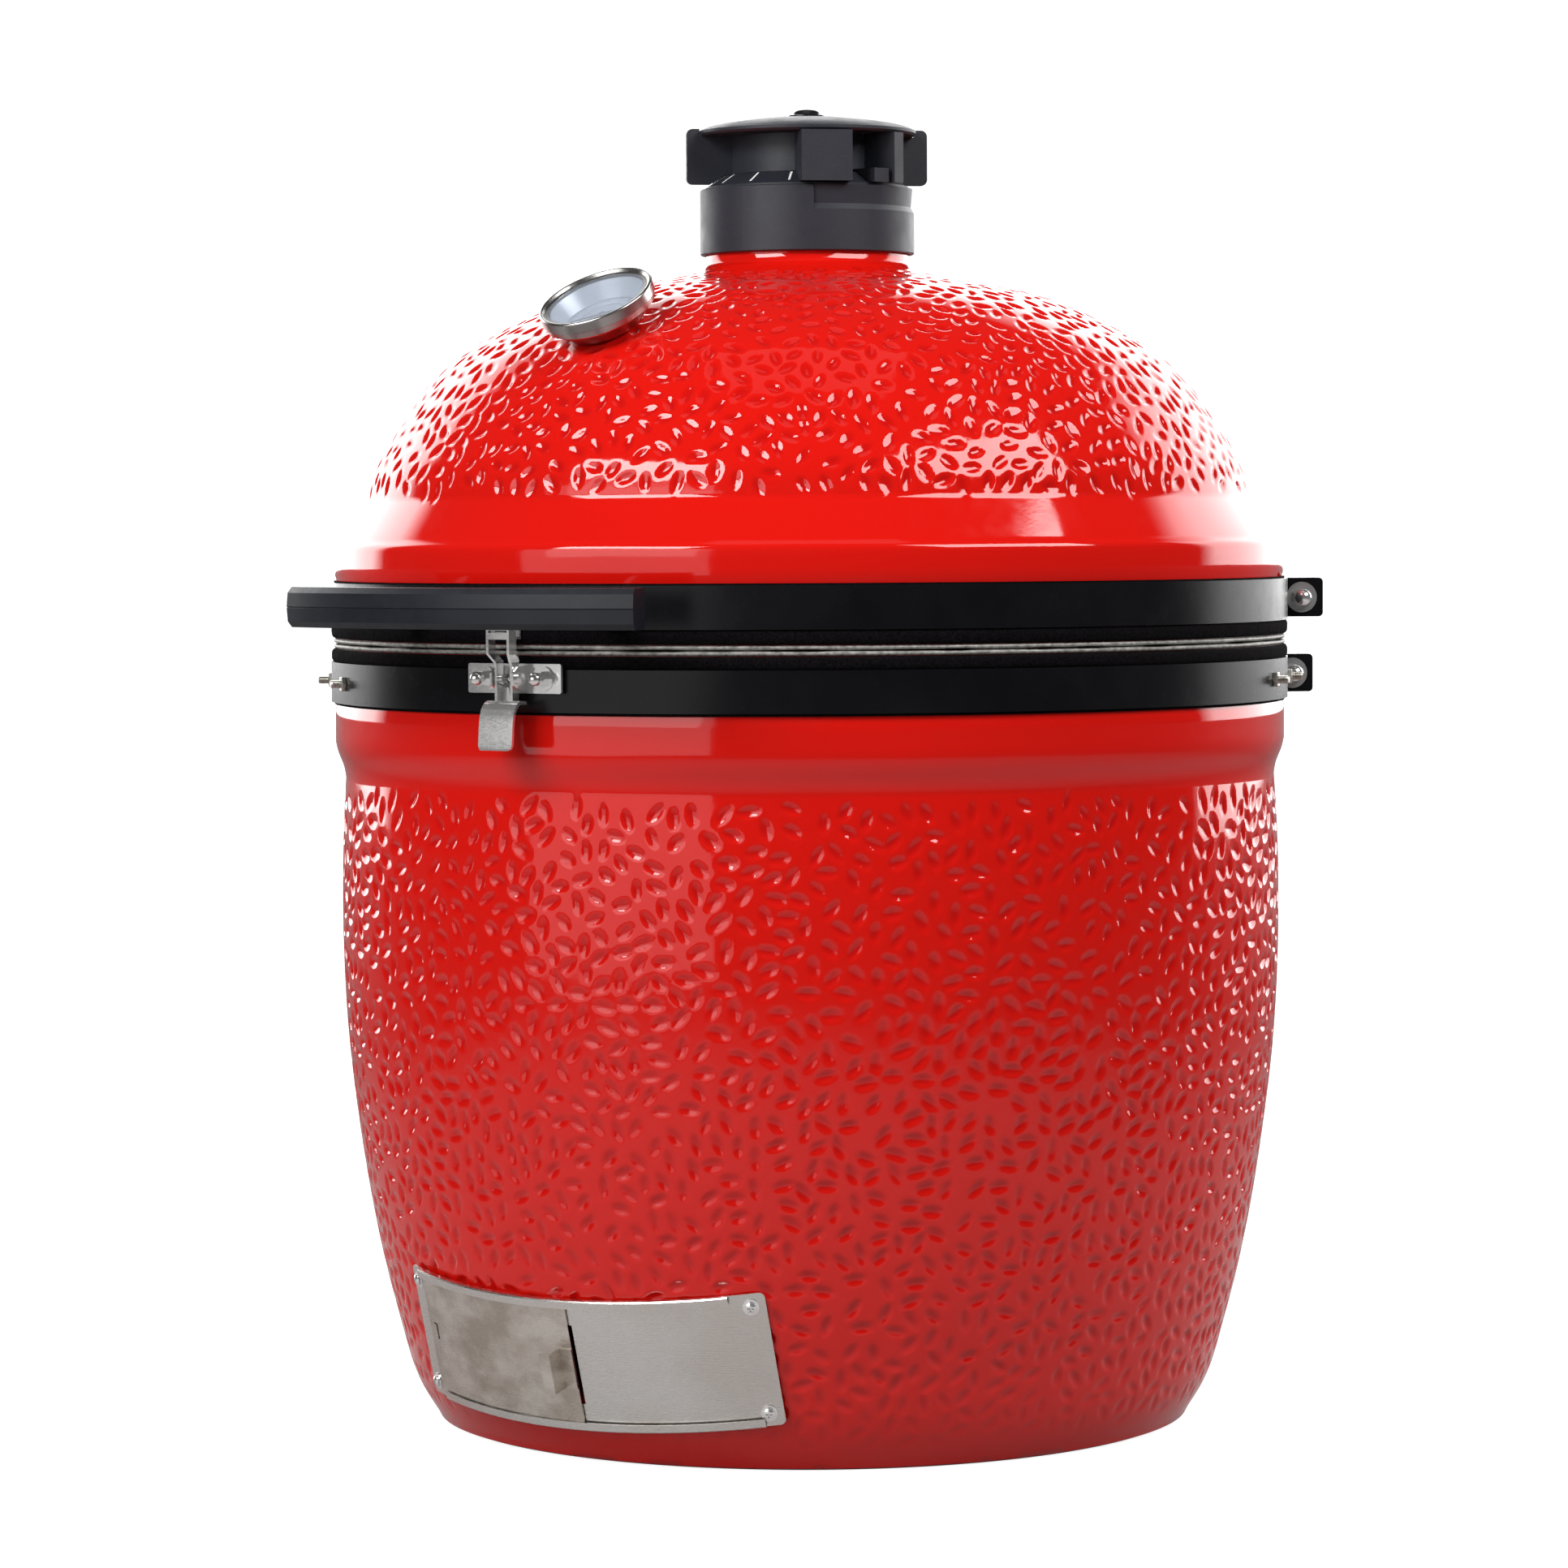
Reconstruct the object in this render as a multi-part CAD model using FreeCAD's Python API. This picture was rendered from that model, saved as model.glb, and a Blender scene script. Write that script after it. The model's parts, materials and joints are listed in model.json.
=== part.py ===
import FreeCAD, Part

import os
from math import cos, degrees, hypot, pi, radians, sin, sqrt

# Kamado ceramic grill. Millimetres, +Z up, origin on the bowl's axis at the floor, front towards -Y.
# An angle about the axis is counted in degrees from the front, positive towards +X.

V = FreeCAD.Vector
UP = V(0, 0, 1)
GAP = 0.1

# --- Ceramic shells -----------------------------------------------------------------------------
WALL = 28.0
RIM_R = 344.0
RIM_INNER_R = RIM_R - WALL
FELT_SEAT_R = 342.6
PARTING_Z = 561.0
FLOOR_Z = 30.0
FOOT_R = 268.0
BASE_FELT_Z = 517.0
BASE_RIM_Z = 557.4
LID_RIM_Z = 2 * PARTING_Z - BASE_RIM_Z
LID_FELT_Z = 606.0
LID_RING_Z = 627.0
RING_CHAMFER = 4.0
NECK_R = 73.5
NECK_TOP_Z = 862.0
THROAT_R = 50.0

# Outer wall outlines as (radius, height).
BASE_WALL = [
    (275, 6), (286.5, 25), (298.5, 61), (308, 97), (316, 133), (325.5, 187),
    (334, 252), (338.5, 310), (340, 372), (338.5, 436), (336.8, 464),
]
BASE_FLARE = [(336.8, 464), (338.2, 472), (342.4, 483), (344, 490)]
LID_RING_EDGE = [(344, 627), (343.1, 630.8), (340.6, 633.6)]
LID_DOME = [
    (321.2, 664), (318, 679), (307, 702), (284, 737), (262, 761), (228, 784),
    (177, 807), (127, 819), (100, 824), (83, 828.5), (75.5, 832.5), (73.5, 838),
]

# --- Bands, felts and seals ---------------------------------------------------------------------
FELT_R = 344.2
BAND_INNER_R = 344.3
BAND_R = 346.6
LOWER_BAND_Z = (519.0, 548.0)
UPPER_BAND_Z = (575.0, 604.5)
LOWER_CLAMP_ANGLE = 136.5
UPPER_CLAMP_ANGLE = 131.0
CLAMP_GAP = 6.0
CLAMP_TAB_R = 376.5
CLAMP_TAB_T = 2.6
CLAMP_BOLT_R = 4.0
CLAMP_BOLT_OUT = 14.0
CLAMP_NUT_FLATS = 13.0
CLAMP_WASHER_R = 11.2
WASHER_T = 1.6
NUT_T = 5.0
SHELF_STUD_ANGLES = (-53.5, -35.0, 108.0, 122.0)
STUD_LENGTH = 10.0
STUD_R = 3.0
STUD_NUT_T = 3.2
SEAL_INNER_R = 317.0
SEAL_OUTER_R = 344.6
SEAL_SPLIT = 0.25

# --- Hinge --------------------------------------------------------------------------------------
HINGE_Y = 385.0
HINGE_PIN_R = 5.0
HINGE_EAR_R = 12.0
HINGE_EAR_X = 48.0
HINGE_EAR_T = 4.0
HINGE_UPPER_EAR_X = 42.0
PIN_CLEARANCE = 0.05
HINGE_BOLT_X = 62.0

# --- Handle -------------------------------------------------------------------------------------
HANDLE_R = (399.0, 425.0)
HANDLE_Z = (576.2, 603.8)
HANDLE_HALF_ANGLE = 20.85
HANDLE_POST_ANGLE = 14.0
POST_R = 9.0
POST_FLANGE_R = 13.0
POST_SOCKET = 6.0

# --- Latch, in a frame tangent to the band: x across, y outwards, z up --------------------------
LATCH_ANGLE = 1.7
LATCH_PLATE = (79.0, 20.0, 2.0)
LATCH_PLATE_Z = 542.0
LATCH_PIVOT = (357.5, 542.0)
LATCH_PIN_R = 2.0
LATCH_STUD_X = 24.8
LATCH_EAR_X = 9.2
LATCH_EAR_T = 1.6
LATCH_SLOT = (5.0, 3.4)
FINGER_TAB_HALF = 14.3
LEVER_HALF = (6.6, 8.8)

# --- Thermometer --------------------------------------------------------------------------------
THERMO_FOOT = (233.0, 781.0)
THERMO_TILT = 31.0
THERMO_BEZEL_R = 41.0
THERMO_TOP = 25.5
LENS_Z = 21.1
DIAL_PLATE_Z = 8.6
NEEDLE_Z = 11.1
NEEDLE_COLD_ANGLE = 118.0
STEM_R = 4.0
AXLE_R = 0.8

# --- Draft door, on a cylinder whose axis leans forward -----------------------------------------
DRAFT_LEAN = 15.0
DRAFT_R = 312.9
DRAFT_MIDDLE = (303.3, 71.4)
DRAFT_HALF_HEIGHT = 48.0
DRAFT_ANGLES = (-26.4, 31.0)
DOOR_ANGLES = (-23.4, 4.15)
WINDOW_ANGLES = (-20.0, 4.6)
WINDOW_HALF_HEIGHT = 29.0
SHEET = 1.0
DRAFT_SCREW_HEIGHT = 38.5
DRAFT_SCREW_ANGLES = (DRAFT_ANGLES[0] + 1.6, DRAFT_ANGLES[1] - 1.9)
DRAFT_SCREW_HOLE_R = 2.6
DRAFT_SCREW_HEAD_R = 3.9
DRAFT_SCREW_WASHER_R = 5.7
DOOR_TAB_HEIGHTS = (-17.0, 12.0)

# --- Fire parts inside the bowl -----------------------------------------------------------------
FIREBOX_TOP_Z = 330.0
RING_TOP_Z = 430.0
RING_R = (270.0, 294.0)
GRATE_SEAT_Z = 118.0
COOK_Z = 538.5
COOK_R = 298.0
DEFLECTOR_R = 262.0

# --- Top vent -----------------------------------------------------------------------------------
COLLAR_R = 77.5
COLLAR_BORE_R = 74.4
COLLAR_Z = (839.5, 886.5)
DRUM_R = 73.4
VENT_HINGE = (85.5, 884.0)
VENT_EYE_R = 4.0
VENT_PIN_R = 2.0
VENT_EAR_X = 14.0
VENT_EAR_T = 4.0
KNUCKLE_HALF = 11.0
SET_SCREW_ANGLES = (150, 210, 270)
SET_SCREW_R = 2.5
SET_SCREW_Z = 850.0
AIR_WINDOW_ANGLES = (0, 90, 180, 270)
AIR_WINDOW_HALF_ANGLE = 20.0
AIR_WINDOW_R = (18.0, 46.0)
DIAL_WALL_R = 55.0
DIAL_Z = (897.3, 924.6)
FIN_R = 88.4
DIAL_LOW_Z = 888.6
DIAL_MOUTH_STARTS = (106, 146, 182, 280)
BLOCK_ANGLE = 46.7
FIN_ANGLE = 136.7
POST_ANGLE = 91.0
STEP_ANGLE = 79.0
CAP_R = 79.0
CAP_EDGE_Z = (925.0, 929.3)
CAP_TOP_Z = 939.0
SPINDLE_R = 4.0
TOTAL_Z = 945.0


# ================================================================================================
# Shape helpers
# ================================================================================================

def polar(radius, angle, z=0.0):
    """The point at this radius, angle from the front and height."""
    return V(radius * sin(radians(angle)), -radius * cos(radians(angle)), z)


def turned(shape, angle):
    """The shape turned about the grill's axis."""
    copy = shape.copy()
    copy.rotate(V(0, 0, 0), UP, angle)
    return copy


def revolved(outline, start=0.0, end=360.0):
    """A solid swept round the axis by an outline, from one angle to another.

    The outline is a list of polylines and curves in (radius, height), each starting where the one
    before it ends; a curve is given as a tuple of points and a polyline as a list.
    """
    edges = []
    for piece in outline:
        points = [V(r, 0, z) for r, z in piece]
        if isinstance(piece, tuple):
            curve = Part.BSplineCurve()
            curve.interpolate(points)
            edges.append(curve.toShape())
        else:
            edges += [Part.makeLine(a, b) for a, b in zip(points, points[1:])]
    first = outline[0][0]
    last = outline[-1][-1]
    if hypot(first[0] - last[0], first[1] - last[1]) > 1e-6:
        edges.append(Part.makeLine(V(last[0], 0, last[1]), V(first[0], 0, first[1])))
    face = Part.Face(Part.Wire(edges))
    solid = face.revolve(V(0, 0, 0), UP, end - start)
    return turned(solid, start - 90)


def band(r_in, r_out, z0, z1, start=0.0, end=360.0):
    """A ring of rectangular section, or part of one."""
    return revolved([[(r_in, z0), (r_out, z0), (r_out, z1), (r_in, z1)]], start, end)


def inward(points, distance):
    """Outline points moved square to the outline, towards the inside of the shell."""
    moved = []
    last = len(points) - 1
    for i, (r, z) in enumerate(points):
        r0, z0 = points[max(i - 1, 0)]
        r1, z1 = points[min(i + 1, last)]
        length = hypot(r1 - r0, z1 - z0)
        moved.append((r - distance * (z1 - z0) / length, z + distance * (r1 - r0) / length))
    return moved


def box(x0, x1, y0, y1, z0, z1):
    """A block between two values of each coordinate."""
    return Part.makeBox(x1 - x0, y1 - y0, z1 - z0, V(x0, y0, z0))


def rod(start, end, radius):
    """A round bar between two points."""
    along = end - start
    return Part.makeCylinder(radius, along.Length, start, along)


def plate(points, thickness, normal_axis="x", at=0.0):
    """A flat plate from its outline, centred on a plane square to one axis.

    With normal_axis "x" the points are (y, z); with "y" they are (x, z); with "z", (x, y).
    """
    half = thickness / 2
    if normal_axis == "x":
        corners = [V(at - half, a, b) for a, b in points]
        push = V(thickness, 0, 0)
    elif normal_axis == "y":
        corners = [V(a, at - half, b) for a, b in points]
        push = V(0, thickness, 0)
    else:
        corners = [V(a, b, at - half) for a, b in points]
        push = V(0, 0, thickness)
    return Part.Face(Part.makePolygon(corners + corners[:1])).extrude(push)


def fused(shapes):
    """The shapes joined into one solid."""
    whole = shapes[0]
    for shape in shapes[1:]:
        whole = whole.fuse(shape)
    return whole.removeSplitter()


def hexagon(across_flats, height, base, direction):
    """A hexagonal prism standing on a point."""
    corner = across_flats / sqrt(3)
    points = [V(corner * cos(k * pi / 3), corner * sin(k * pi / 3), 0) for k in range(7)]
    prism = Part.Face(Part.makePolygon(points)).extrude(V(0, 0, height))
    prism.Placement = FreeCAD.Placement(base, FreeCAD.Rotation(UP, direction))
    return prism


def acorn_nut(base, direction, across_flats=10.0, washer_r=8.5, tail=0.0):
    """A washer, a hexagonal nut with a domed cap, and the stud's tail behind the washer."""
    out = direction.normalize()
    cap_r = across_flats / 2 - 0.4
    cap_at = base + out * (WASHER_T + NUT_T)
    cap_height = 3.0
    pieces = [
        Part.makeCylinder(washer_r, WASHER_T, base, out),
        hexagon(across_flats, NUT_T, base + out * WASHER_T, out),
        Part.makeCylinder(cap_r, cap_height, cap_at, out),
        Part.makeSphere(cap_r, cap_at + out * cap_height),
    ]
    if tail:
        pieces.append(Part.makeCylinder(STUD_R - 0.1, tail, base - out * tail, out))
    return fused(pieces)


def in_latch_frame(shape):
    """Moves a shape from the latch's frame (x across, y outwards) to its place on the band."""
    moved = shape.copy()
    moved.rotate(V(0, 0, 0), UP, 180)
    return turned(moved, LATCH_ANGLE)


def in_thermometer_frame(shape):
    """Moves a shape made on the Z axis onto the thermometer's axis, its foot on the dome."""
    moved = shape.copy()
    moved.rotate(V(0, 0, 0), V(1, 0, 0), THERMO_TILT)
    moved.translate(V(0, -THERMO_FOOT[0], THERMO_FOOT[1]))
    return moved


def in_draft_frame(shape):
    """Moves a shape made round the Z axis onto the draft door's leaning cylinder."""
    lean = radians(DRAFT_LEAN)
    moved = shape.copy()
    moved.rotate(V(0, 0, 0), V(1, 0, 0), DRAFT_LEAN)
    front, height = DRAFT_MIDDLE
    moved.translate(V(0, -front + DRAFT_R * cos(lean), height + DRAFT_R * sin(lean)))
    return moved


# ================================================================================================
# Ceramic shells
# ================================================================================================

def base_shell():
    """The bowl, with a window for the draft door and holes for its screws."""
    inner = inward(BASE_WALL[2:], WALL)
    inner = [p for p in inner if p[1] < 440]
    outline = [
        [(0, 0), (FOOT_R, 0)],
        ((FOOT_R, 0), (FOOT_R + 4.5, 1.6), BASE_WALL[0]),
        tuple(BASE_WALL),
        tuple(BASE_FLARE),
        [
            BASE_FLARE[-1], (RIM_R, BASE_FELT_Z - RING_CHAMFER), (FELT_SEAT_R, BASE_FELT_Z),
            (FELT_SEAT_R, BASE_RIM_Z), (RIM_INNER_R, BASE_RIM_Z), (RIM_INNER_R, 470),
        ],
        tuple([(RIM_INNER_R, 470)] + inner[::-1] + [(246, 34)]),
        [(246, 34), (238, FLOOR_Z), (0, FLOOR_Z)],
    ]
    shell = revolved(outline)
    window = band(
        DRAFT_R - 80, DRAFT_R + 40, -WINDOW_HALF_HEIGHT + 1, WINDOW_HALF_HEIGHT - 1, *WINDOW_ANGLES
    )
    shell = shell.cut(in_draft_frame(window))
    return shell.cut(draft_screw_holes())


def lid_shell():
    """The dome and its neck, with a hole for the thermometer's stem."""
    dome_inner = inward(LID_DOME[:9], WALL)
    outline = [
        [
            (RIM_INNER_R, LID_RIM_Z), (FELT_SEAT_R, LID_RIM_Z), (FELT_SEAT_R, LID_FELT_Z),
            (RIM_R, LID_FELT_Z + RING_CHAMFER), (RIM_R, LID_RING_Z),
        ],
        tuple(LID_RING_EDGE),
        [LID_RING_EDGE[-1], LID_DOME[0]],
        tuple(LID_DOME),
        [LID_DOME[-1], (NECK_R, NECK_TOP_Z), (THROAT_R, NECK_TOP_Z), (THROAT_R, 806)],
        tuple([(THROAT_R, 806), (60, 801)] + dome_inner[:0:-1] + [(RIM_INNER_R, 625)]),
        [(RIM_INNER_R, 625), (RIM_INNER_R, LID_RIM_Z)],
    ]
    shell = revolved(outline)
    stem_hole = Part.makeCylinder(STEM_R + 1.5, 80, V(0, 0, -50))
    return shell.cut(in_thermometer_frame(stem_hole))


# ================================================================================================
# Bands, felts and seals
# ================================================================================================

def felt(z0, z1):
    """A strip round a rim's felt seat."""
    return band(FELT_SEAT_R + GAP, FELT_R, z0, z1)


def seal(z_flat, z_round):
    """A flat strip on the rim whose outer edge is rounded, from the rim's face to its crown."""
    side = 1 if z_round > z_flat else -1
    height = abs(z_round - z_flat)
    crown = z_flat + side * height
    outline = [
        [(SEAL_INNER_R, z_flat), (SEAL_OUTER_R - 1.6, z_flat)],
        (
            (SEAL_OUTER_R - 1.6, z_flat),
            (SEAL_OUTER_R, z_flat + side * height / 2),
            (SEAL_OUTER_R - 1.6, crown),
        ),
        [(SEAL_OUTER_R - 1.6, crown), (SEAL_INNER_R, crown)],
    ]
    return revolved(outline)


def clamp_band(z_range, start, end):
    """One part of a clamp band, with a drilled tab bent outwards at each end."""
    z0, z1 = z_range
    half_gap = degrees(CLAMP_GAP / 2 / BAND_R)
    strap = band(BAND_INNER_R, BAND_R, z0, z1, start + half_gap, end - half_gap)
    pieces = [strap]
    for angle, side in ((start, 1), (end, -1)):
        near = CLAMP_GAP / 2
        far = near + CLAMP_TAB_T
        x0, x1 = sorted((side * near, side * far))
        tab = box(x0, x1, -CLAMP_TAB_R, -BAND_INNER_R - 0.6, z0 + 0.6, z1 - 0.6)
        tips = [e for e in tab.Edges if is_tab_tip(e)]
        tab = tab.makeFillet(3.2, tips)
        bolt_at = V(x0 - 5, -(BAND_R + CLAMP_BOLT_OUT), (z0 + z1) / 2)
        tab = tab.cut(Part.makeCylinder(CLAMP_BOLT_R + 0.3, 20, bolt_at, V(1, 0, 0)))
        pieces.append(turned(tab, angle))
    return fused(pieces)


def is_tab_tip(edge):
    """True for a tab's two outer edges across its thickness."""
    a, b = (v.Point for v in edge.Vertexes)
    return abs(a.x - b.x) > 1 and a.y < -CLAMP_TAB_R + 1


def clamp_bolts(z_range, angle):
    """A bolt through each pair of tabs, with washers, and a domed nut on the side towards the front."""
    pieces = []
    z = sum(z_range) / 2
    face = CLAMP_GAP / 2 + CLAMP_TAB_T
    for side in (-1, 1):
        at = V(0, -(BAND_R + CLAMP_BOLT_OUT), z)
        front = V(-side, 0, 0)
        rear_face = at - front * (face + WASHER_T)
        shank = Part.makeCylinder(CLAMP_BOLT_R, 2 * face + WASHER_T, rear_face, front)
        nut = acorn_nut(at + front * face, front, CLAMP_NUT_FLATS, CLAMP_WASHER_R)
        washer = Part.makeCylinder(CLAMP_WASHER_R, WASHER_T, rear_face, front)
        head = hexagon(CLAMP_NUT_FLATS, NUT_T, rear_face - front * NUT_T, front)
        pieces.append(turned(fused([shank, nut, washer, head]), side * angle))
    return Part.makeCompound(pieces)


def shelf_studs():
    """Threaded studs, each with a locking nut, that side shelves hang on."""
    pieces = []
    z = sum(LOWER_BAND_Z) / 2
    for angle in SHELF_STUD_ANGLES:
        base = polar(BAND_R, angle, z)
        out = polar(1, angle)
        stud = rod(base, base + out * STUD_LENGTH, STUD_R)
        lip = Part.makeCone(STUD_R, STUD_R - 0.8, 0.8, base + out * STUD_LENGTH, out)
        nut = hexagon(10.0, STUD_NUT_T, base, out)
        pieces.append(fused([nut, stud, lip]))
    return Part.makeCompound(pieces)


# ================================================================================================
# Handle
# ================================================================================================

def lid_handle():
    """A curved bar with bevelled front edges, a moulding seam and two sockets for its posts."""
    r0, r1 = HANDLE_R
    z0, z1 = HANDLE_Z
    seam_z = (z0 + z1) / 2
    seam = 0.5
    bevel = 4.0
    edge = 1.5
    draft = 0.8
    outline = [[
        (r0 + edge, z0), (r1 - bevel, z0), (r1 - draft, z0 + bevel), (r1, seam_z - seam),
        (r1 - seam, seam_z), (r1, seam_z + seam), (r1 - draft, z1 - bevel), (r1 - bevel, z1),
        (r0 + edge, z1), (r0, z1 - edge), (r0, z0 + edge),
    ]]
    bar = revolved(outline, -HANDLE_HALF_ANGLE, HANDLE_HALF_ANGLE)
    for side in (-1, 1):
        bar = bar.cut(handle_post(side, BAND_R, r0 + POST_SOCKET + GAP, POST_R + PIN_CLEARANCE))
    return bar


def handle_post(side, start, end, radius):
    """A round bar that points out from the grill's axis at a post's place."""
    angle = side * HANDLE_POST_ANGLE
    z = sum(HANDLE_Z) / 2
    return rod(polar(start, angle, z), polar(end, angle, z), radius)


def handle_posts():
    """Round posts between the upper band and the handle, each with a flange on the band."""
    foot_r = BAND_R + 0.6
    pieces = []
    for side in (-1, 1):
        post = handle_post(side, foot_r, HANDLE_R[0] + POST_SOCKET, POST_R)
        flange = handle_post(side, foot_r, foot_r + 4.0, POST_FLANGE_R)
        pieces.append(fused([post, flange]))
    return Part.makeCompound(pieces)


# ================================================================================================
# Latch
# ================================================================================================

def latch_plate():
    """A plate with two slots for its studs and two ears for the lever's pin."""
    length, height, thickness = LATCH_PLATE
    y0 = BAND_R + 0.15
    z0 = LATCH_PLATE_Z - height / 2
    base = box(-length / 2, length / 2, y0, y0 + thickness, z0, z0 + height)
    corners = [e for e in base.Edges if abs(e.Vertexes[0].Point.y - e.Vertexes[-1].Point.y) > 1]
    base = base.makeFillet(1.5, corners)
    for side in (-1, 1):
        base = base.cut(latch_slot(side * LATCH_STUD_X, y0))
    pivot_y, pivot_z = LATCH_PIVOT
    outline = [
        (y0, z0 + 1), (pivot_y, pivot_z - 7), (pivot_y + 5.5, pivot_z - 4),
        (pivot_y + 5.5, pivot_z + 4), (pivot_y, pivot_z + 8), (y0, z0 + height - 1),
    ]
    ears = [plate(outline, LATCH_EAR_T, "x", side * LATCH_EAR_X) for side in (-1, 1)]
    whole = fused([base] + ears)
    return in_latch_frame(whole.cut(latch_pin_hole(LATCH_PIN_R)))


def latch_slot(x, y):
    """A round-ended slot through the plate, a little longer than it is high."""
    half_length, half_height = LATCH_SLOT
    z = LATCH_PLATE_Z
    middle = box(x - half_length, x + half_length, y - 1, y + 5, z - half_height, z + half_height)
    ends = [rod(V(e, y - 1, z), V(e, y + 5, z), half_height) for e in (x - half_length, x + half_length)]
    return fused([middle] + ends)


def latch_pin_hole(radius):
    """The bore for the lever's pin, through both ears."""
    y, z = LATCH_PIVOT
    return rod(V(-20, y, z), V(20, y, z), radius)


def latch_pin():
    """The lever's pin with a head outside each ear."""
    y, z = LATCH_PIVOT
    inside = LATCH_EAR_X + LATCH_EAR_T / 2
    shank = rod(V(-inside - 0.8, y, z), V(inside + 0.8, y, z), LATCH_PIN_R)
    heads = [rod(V(s * (inside + 0.05), y, z), V(s * (inside + 1.8), y, z), 3.4) for s in (-1, 1)]
    return in_latch_frame(fused([shank] + heads))


def latch_nuts():
    """Domed nuts with washers on the plate's two studs."""
    face = BAND_R + 0.2 + LATCH_PLATE[2]
    pieces = []
    for side in (-1, 1):
        at = V(side * LATCH_STUD_X, face, LATCH_PLATE_Z)
        pieces.append(in_latch_frame(acorn_nut(at, V(0, 1, 0), tail=1.9)))
    return Part.makeCompound(pieces)


def latch_lever():
    """Two side strips, set wider apart at the top, with cross bars and a curved finger tab below."""
    y, z = LATCH_PIVOT
    narrow, wide = LEVER_HALF
    strips = []
    for side in (-1, 1):
        front_view = [
            (side * (narrow - 1), z - 16), (side * (narrow + 1), z - 16),
            (side * (narrow + 1), z + 11), (side * (wide + 1), z + 16.5),
            (side * (wide + 1), z + 34.5), (side * (wide - 1), z + 34.5),
            (side * (wide - 1), z + 17), (side * (narrow - 1), z + 11.5),
        ]
        side_view = [
            (y - 4, z - 16), (y + 3, z - 16), (y + 3.5, z + 10), (y + 9.5, z + 17),
            (y + 9.5, z + 34.5), (y + 2, z + 34.5), (y + 1.5, z + 19), (y - 4, z + 12),
        ]
        strips.append(plate(front_view, 60, "y", y).common(plate(side_view, 60, "x", 0)))
    bar = box(-wide, wide, y + 6.6, y + 9.4, z + 26.5, z + 31)
    top_bar = box(-wide, wide, y + 2.4, y + 9.4, z + 32.5, z + 34.5)
    waist = box(-narrow - 1, narrow + 1, y - 4, y - 2.4, z - 16, z - 6)
    lever = fused(strips + [bar, top_bar, waist, finger_tab()])
    return in_latch_frame(lever.cut(latch_pin_hole(LATCH_PIN_R + PIN_CLEARANCE)))


def finger_tab():
    """A sheet that leaves the strips' feet outwards and curves down, wider than the lever."""
    y, z = LATCH_PIVOT
    outer = [V(0, y - 4, z - 15.5), V(0, y + 7, z - 17), V(0, y + 12, z - 31), V(0, y + 14, z - 48)]
    inner = [V(0, y + 12, z - 48), V(0, y + 10, z - 31.5), V(0, y + 5.5, z - 19), V(0, y - 4, z - 17.5)]
    top = Part.BSplineCurve()
    top.interpolate(outer)
    under = Part.BSplineCurve()
    under.interpolate(inner)
    wire = Part.Wire([
        top.toShape(), Part.makeLine(outer[-1], inner[0]),
        under.toShape(), Part.makeLine(inner[-1], outer[0]),
    ])
    half = FINGER_TAB_HALF
    sheet = Part.Face(wire).extrude(V(2 * half, 0, 0))
    sheet.translate(V(-half, 0, 0))
    front_view = [
        (0.4 - half, z - 12), (half - 0.4, z - 12), (half, z - 20), (half, z - 44.5),
        (half - 1.1, z - 47.2), (half - 3.5, z - 48.2), (3.5 - half, z - 48.2), (1.1 - half, z - 47.2),
        (-half, z - 44.5), (-half, z - 20),
    ]
    return sheet.common(plate(front_view, 80, "y", y))


def latch_spring():
    """A torsion spring round the pin, its two legs lying inside the lever."""
    y, z = LATCH_PIVOT
    coil = Part.makeHelix(1.1, 4.4, 2.75)
    start = V(2.75, 0, 0)
    profile = Part.Wire(Part.makeCircle(0.45, start, V(0, 1, 0.07)))
    wound = Part.Wire(coil).makePipeShell([profile], True, True)
    wound.rotate(V(0, 0, 0), V(0, 1, 0), 90)
    wound.translate(V(-2.2, y, z))
    legs = [
        rod(V(-2.2, y + 0.4, z - 2.75), V(-2.2, y - 2.0, z - 12), 0.45),
        rod(V(2.2, y + 0.4, z - 2.75), V(2.2, y - 8.2, z - 5), 0.45),
    ]
    return in_latch_frame(fused([wound] + legs))


def latch_catch():
    """A strip down from the upper band whose foot turns out and up behind the lever's bar."""
    face = BAND_R + 0.15
    foot_z = PARTING_Z + 7.5
    width = 4.2
    tip = LATCH_PIVOT[0] + 6.0
    strap = box(-width, width, face, face + 1.8, foot_z, UPPER_BAND_Z[1] - 6)
    foot = box(-width, width, face, tip, foot_z, foot_z + 1.8)
    lip = box(-width, width, tip - 1.8, tip, foot_z, foot_z + 5.0)
    return in_latch_frame(fused([strap, foot, lip]))


# ================================================================================================
# Thermometer
# ================================================================================================

def spun(outline):
    """A solid turned from an outline, on the thermometer's axis."""
    return in_thermometer_frame(revolved(outline))


def thermometer_cup():
    """The tapered housing that the lens rests on."""
    return spun([[
        (7, 0.6), (24, 0.6), (27, 2.0), (37, 11.5), (38.5, 14.5), (38.5, LENS_Z - 0.1),
        (36.8, LENS_Z - 0.1), (36.8, 15.1), (35.5, 13.3), (26, 4.6), (7, 3.4),
    ]])


def thermometer_bezel():
    """A rolled ring crimped over the cup, with a thin lip that holds the lens."""
    r = THERMO_BEZEL_R
    top = THERMO_TOP
    return spun([
        [(38.7, 13.3), (39.6, 13.3), (39.8, 17.0), (r, 17.7), (r, top - 1.4)],
        ((r, top - 1.4), (r - 0.5, top - 0.3), (r - 1.5, top), (r - 2.5, top - 0.5)),
        [
            (r - 2.5, top - 0.5), (r - 3.6, top - 2.0), (34.8, top - 2.1), (34.8, top - 2.7),
            (38.7, top - 2.7),
        ],
    ])


def thermometer_lens():
    """A flat glass disc."""
    return spun([[(0, LENS_Z), (38.4, LENS_Z), (38.4, LENS_Z + 1.6), (0, LENS_Z + 1.6)]])


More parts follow.
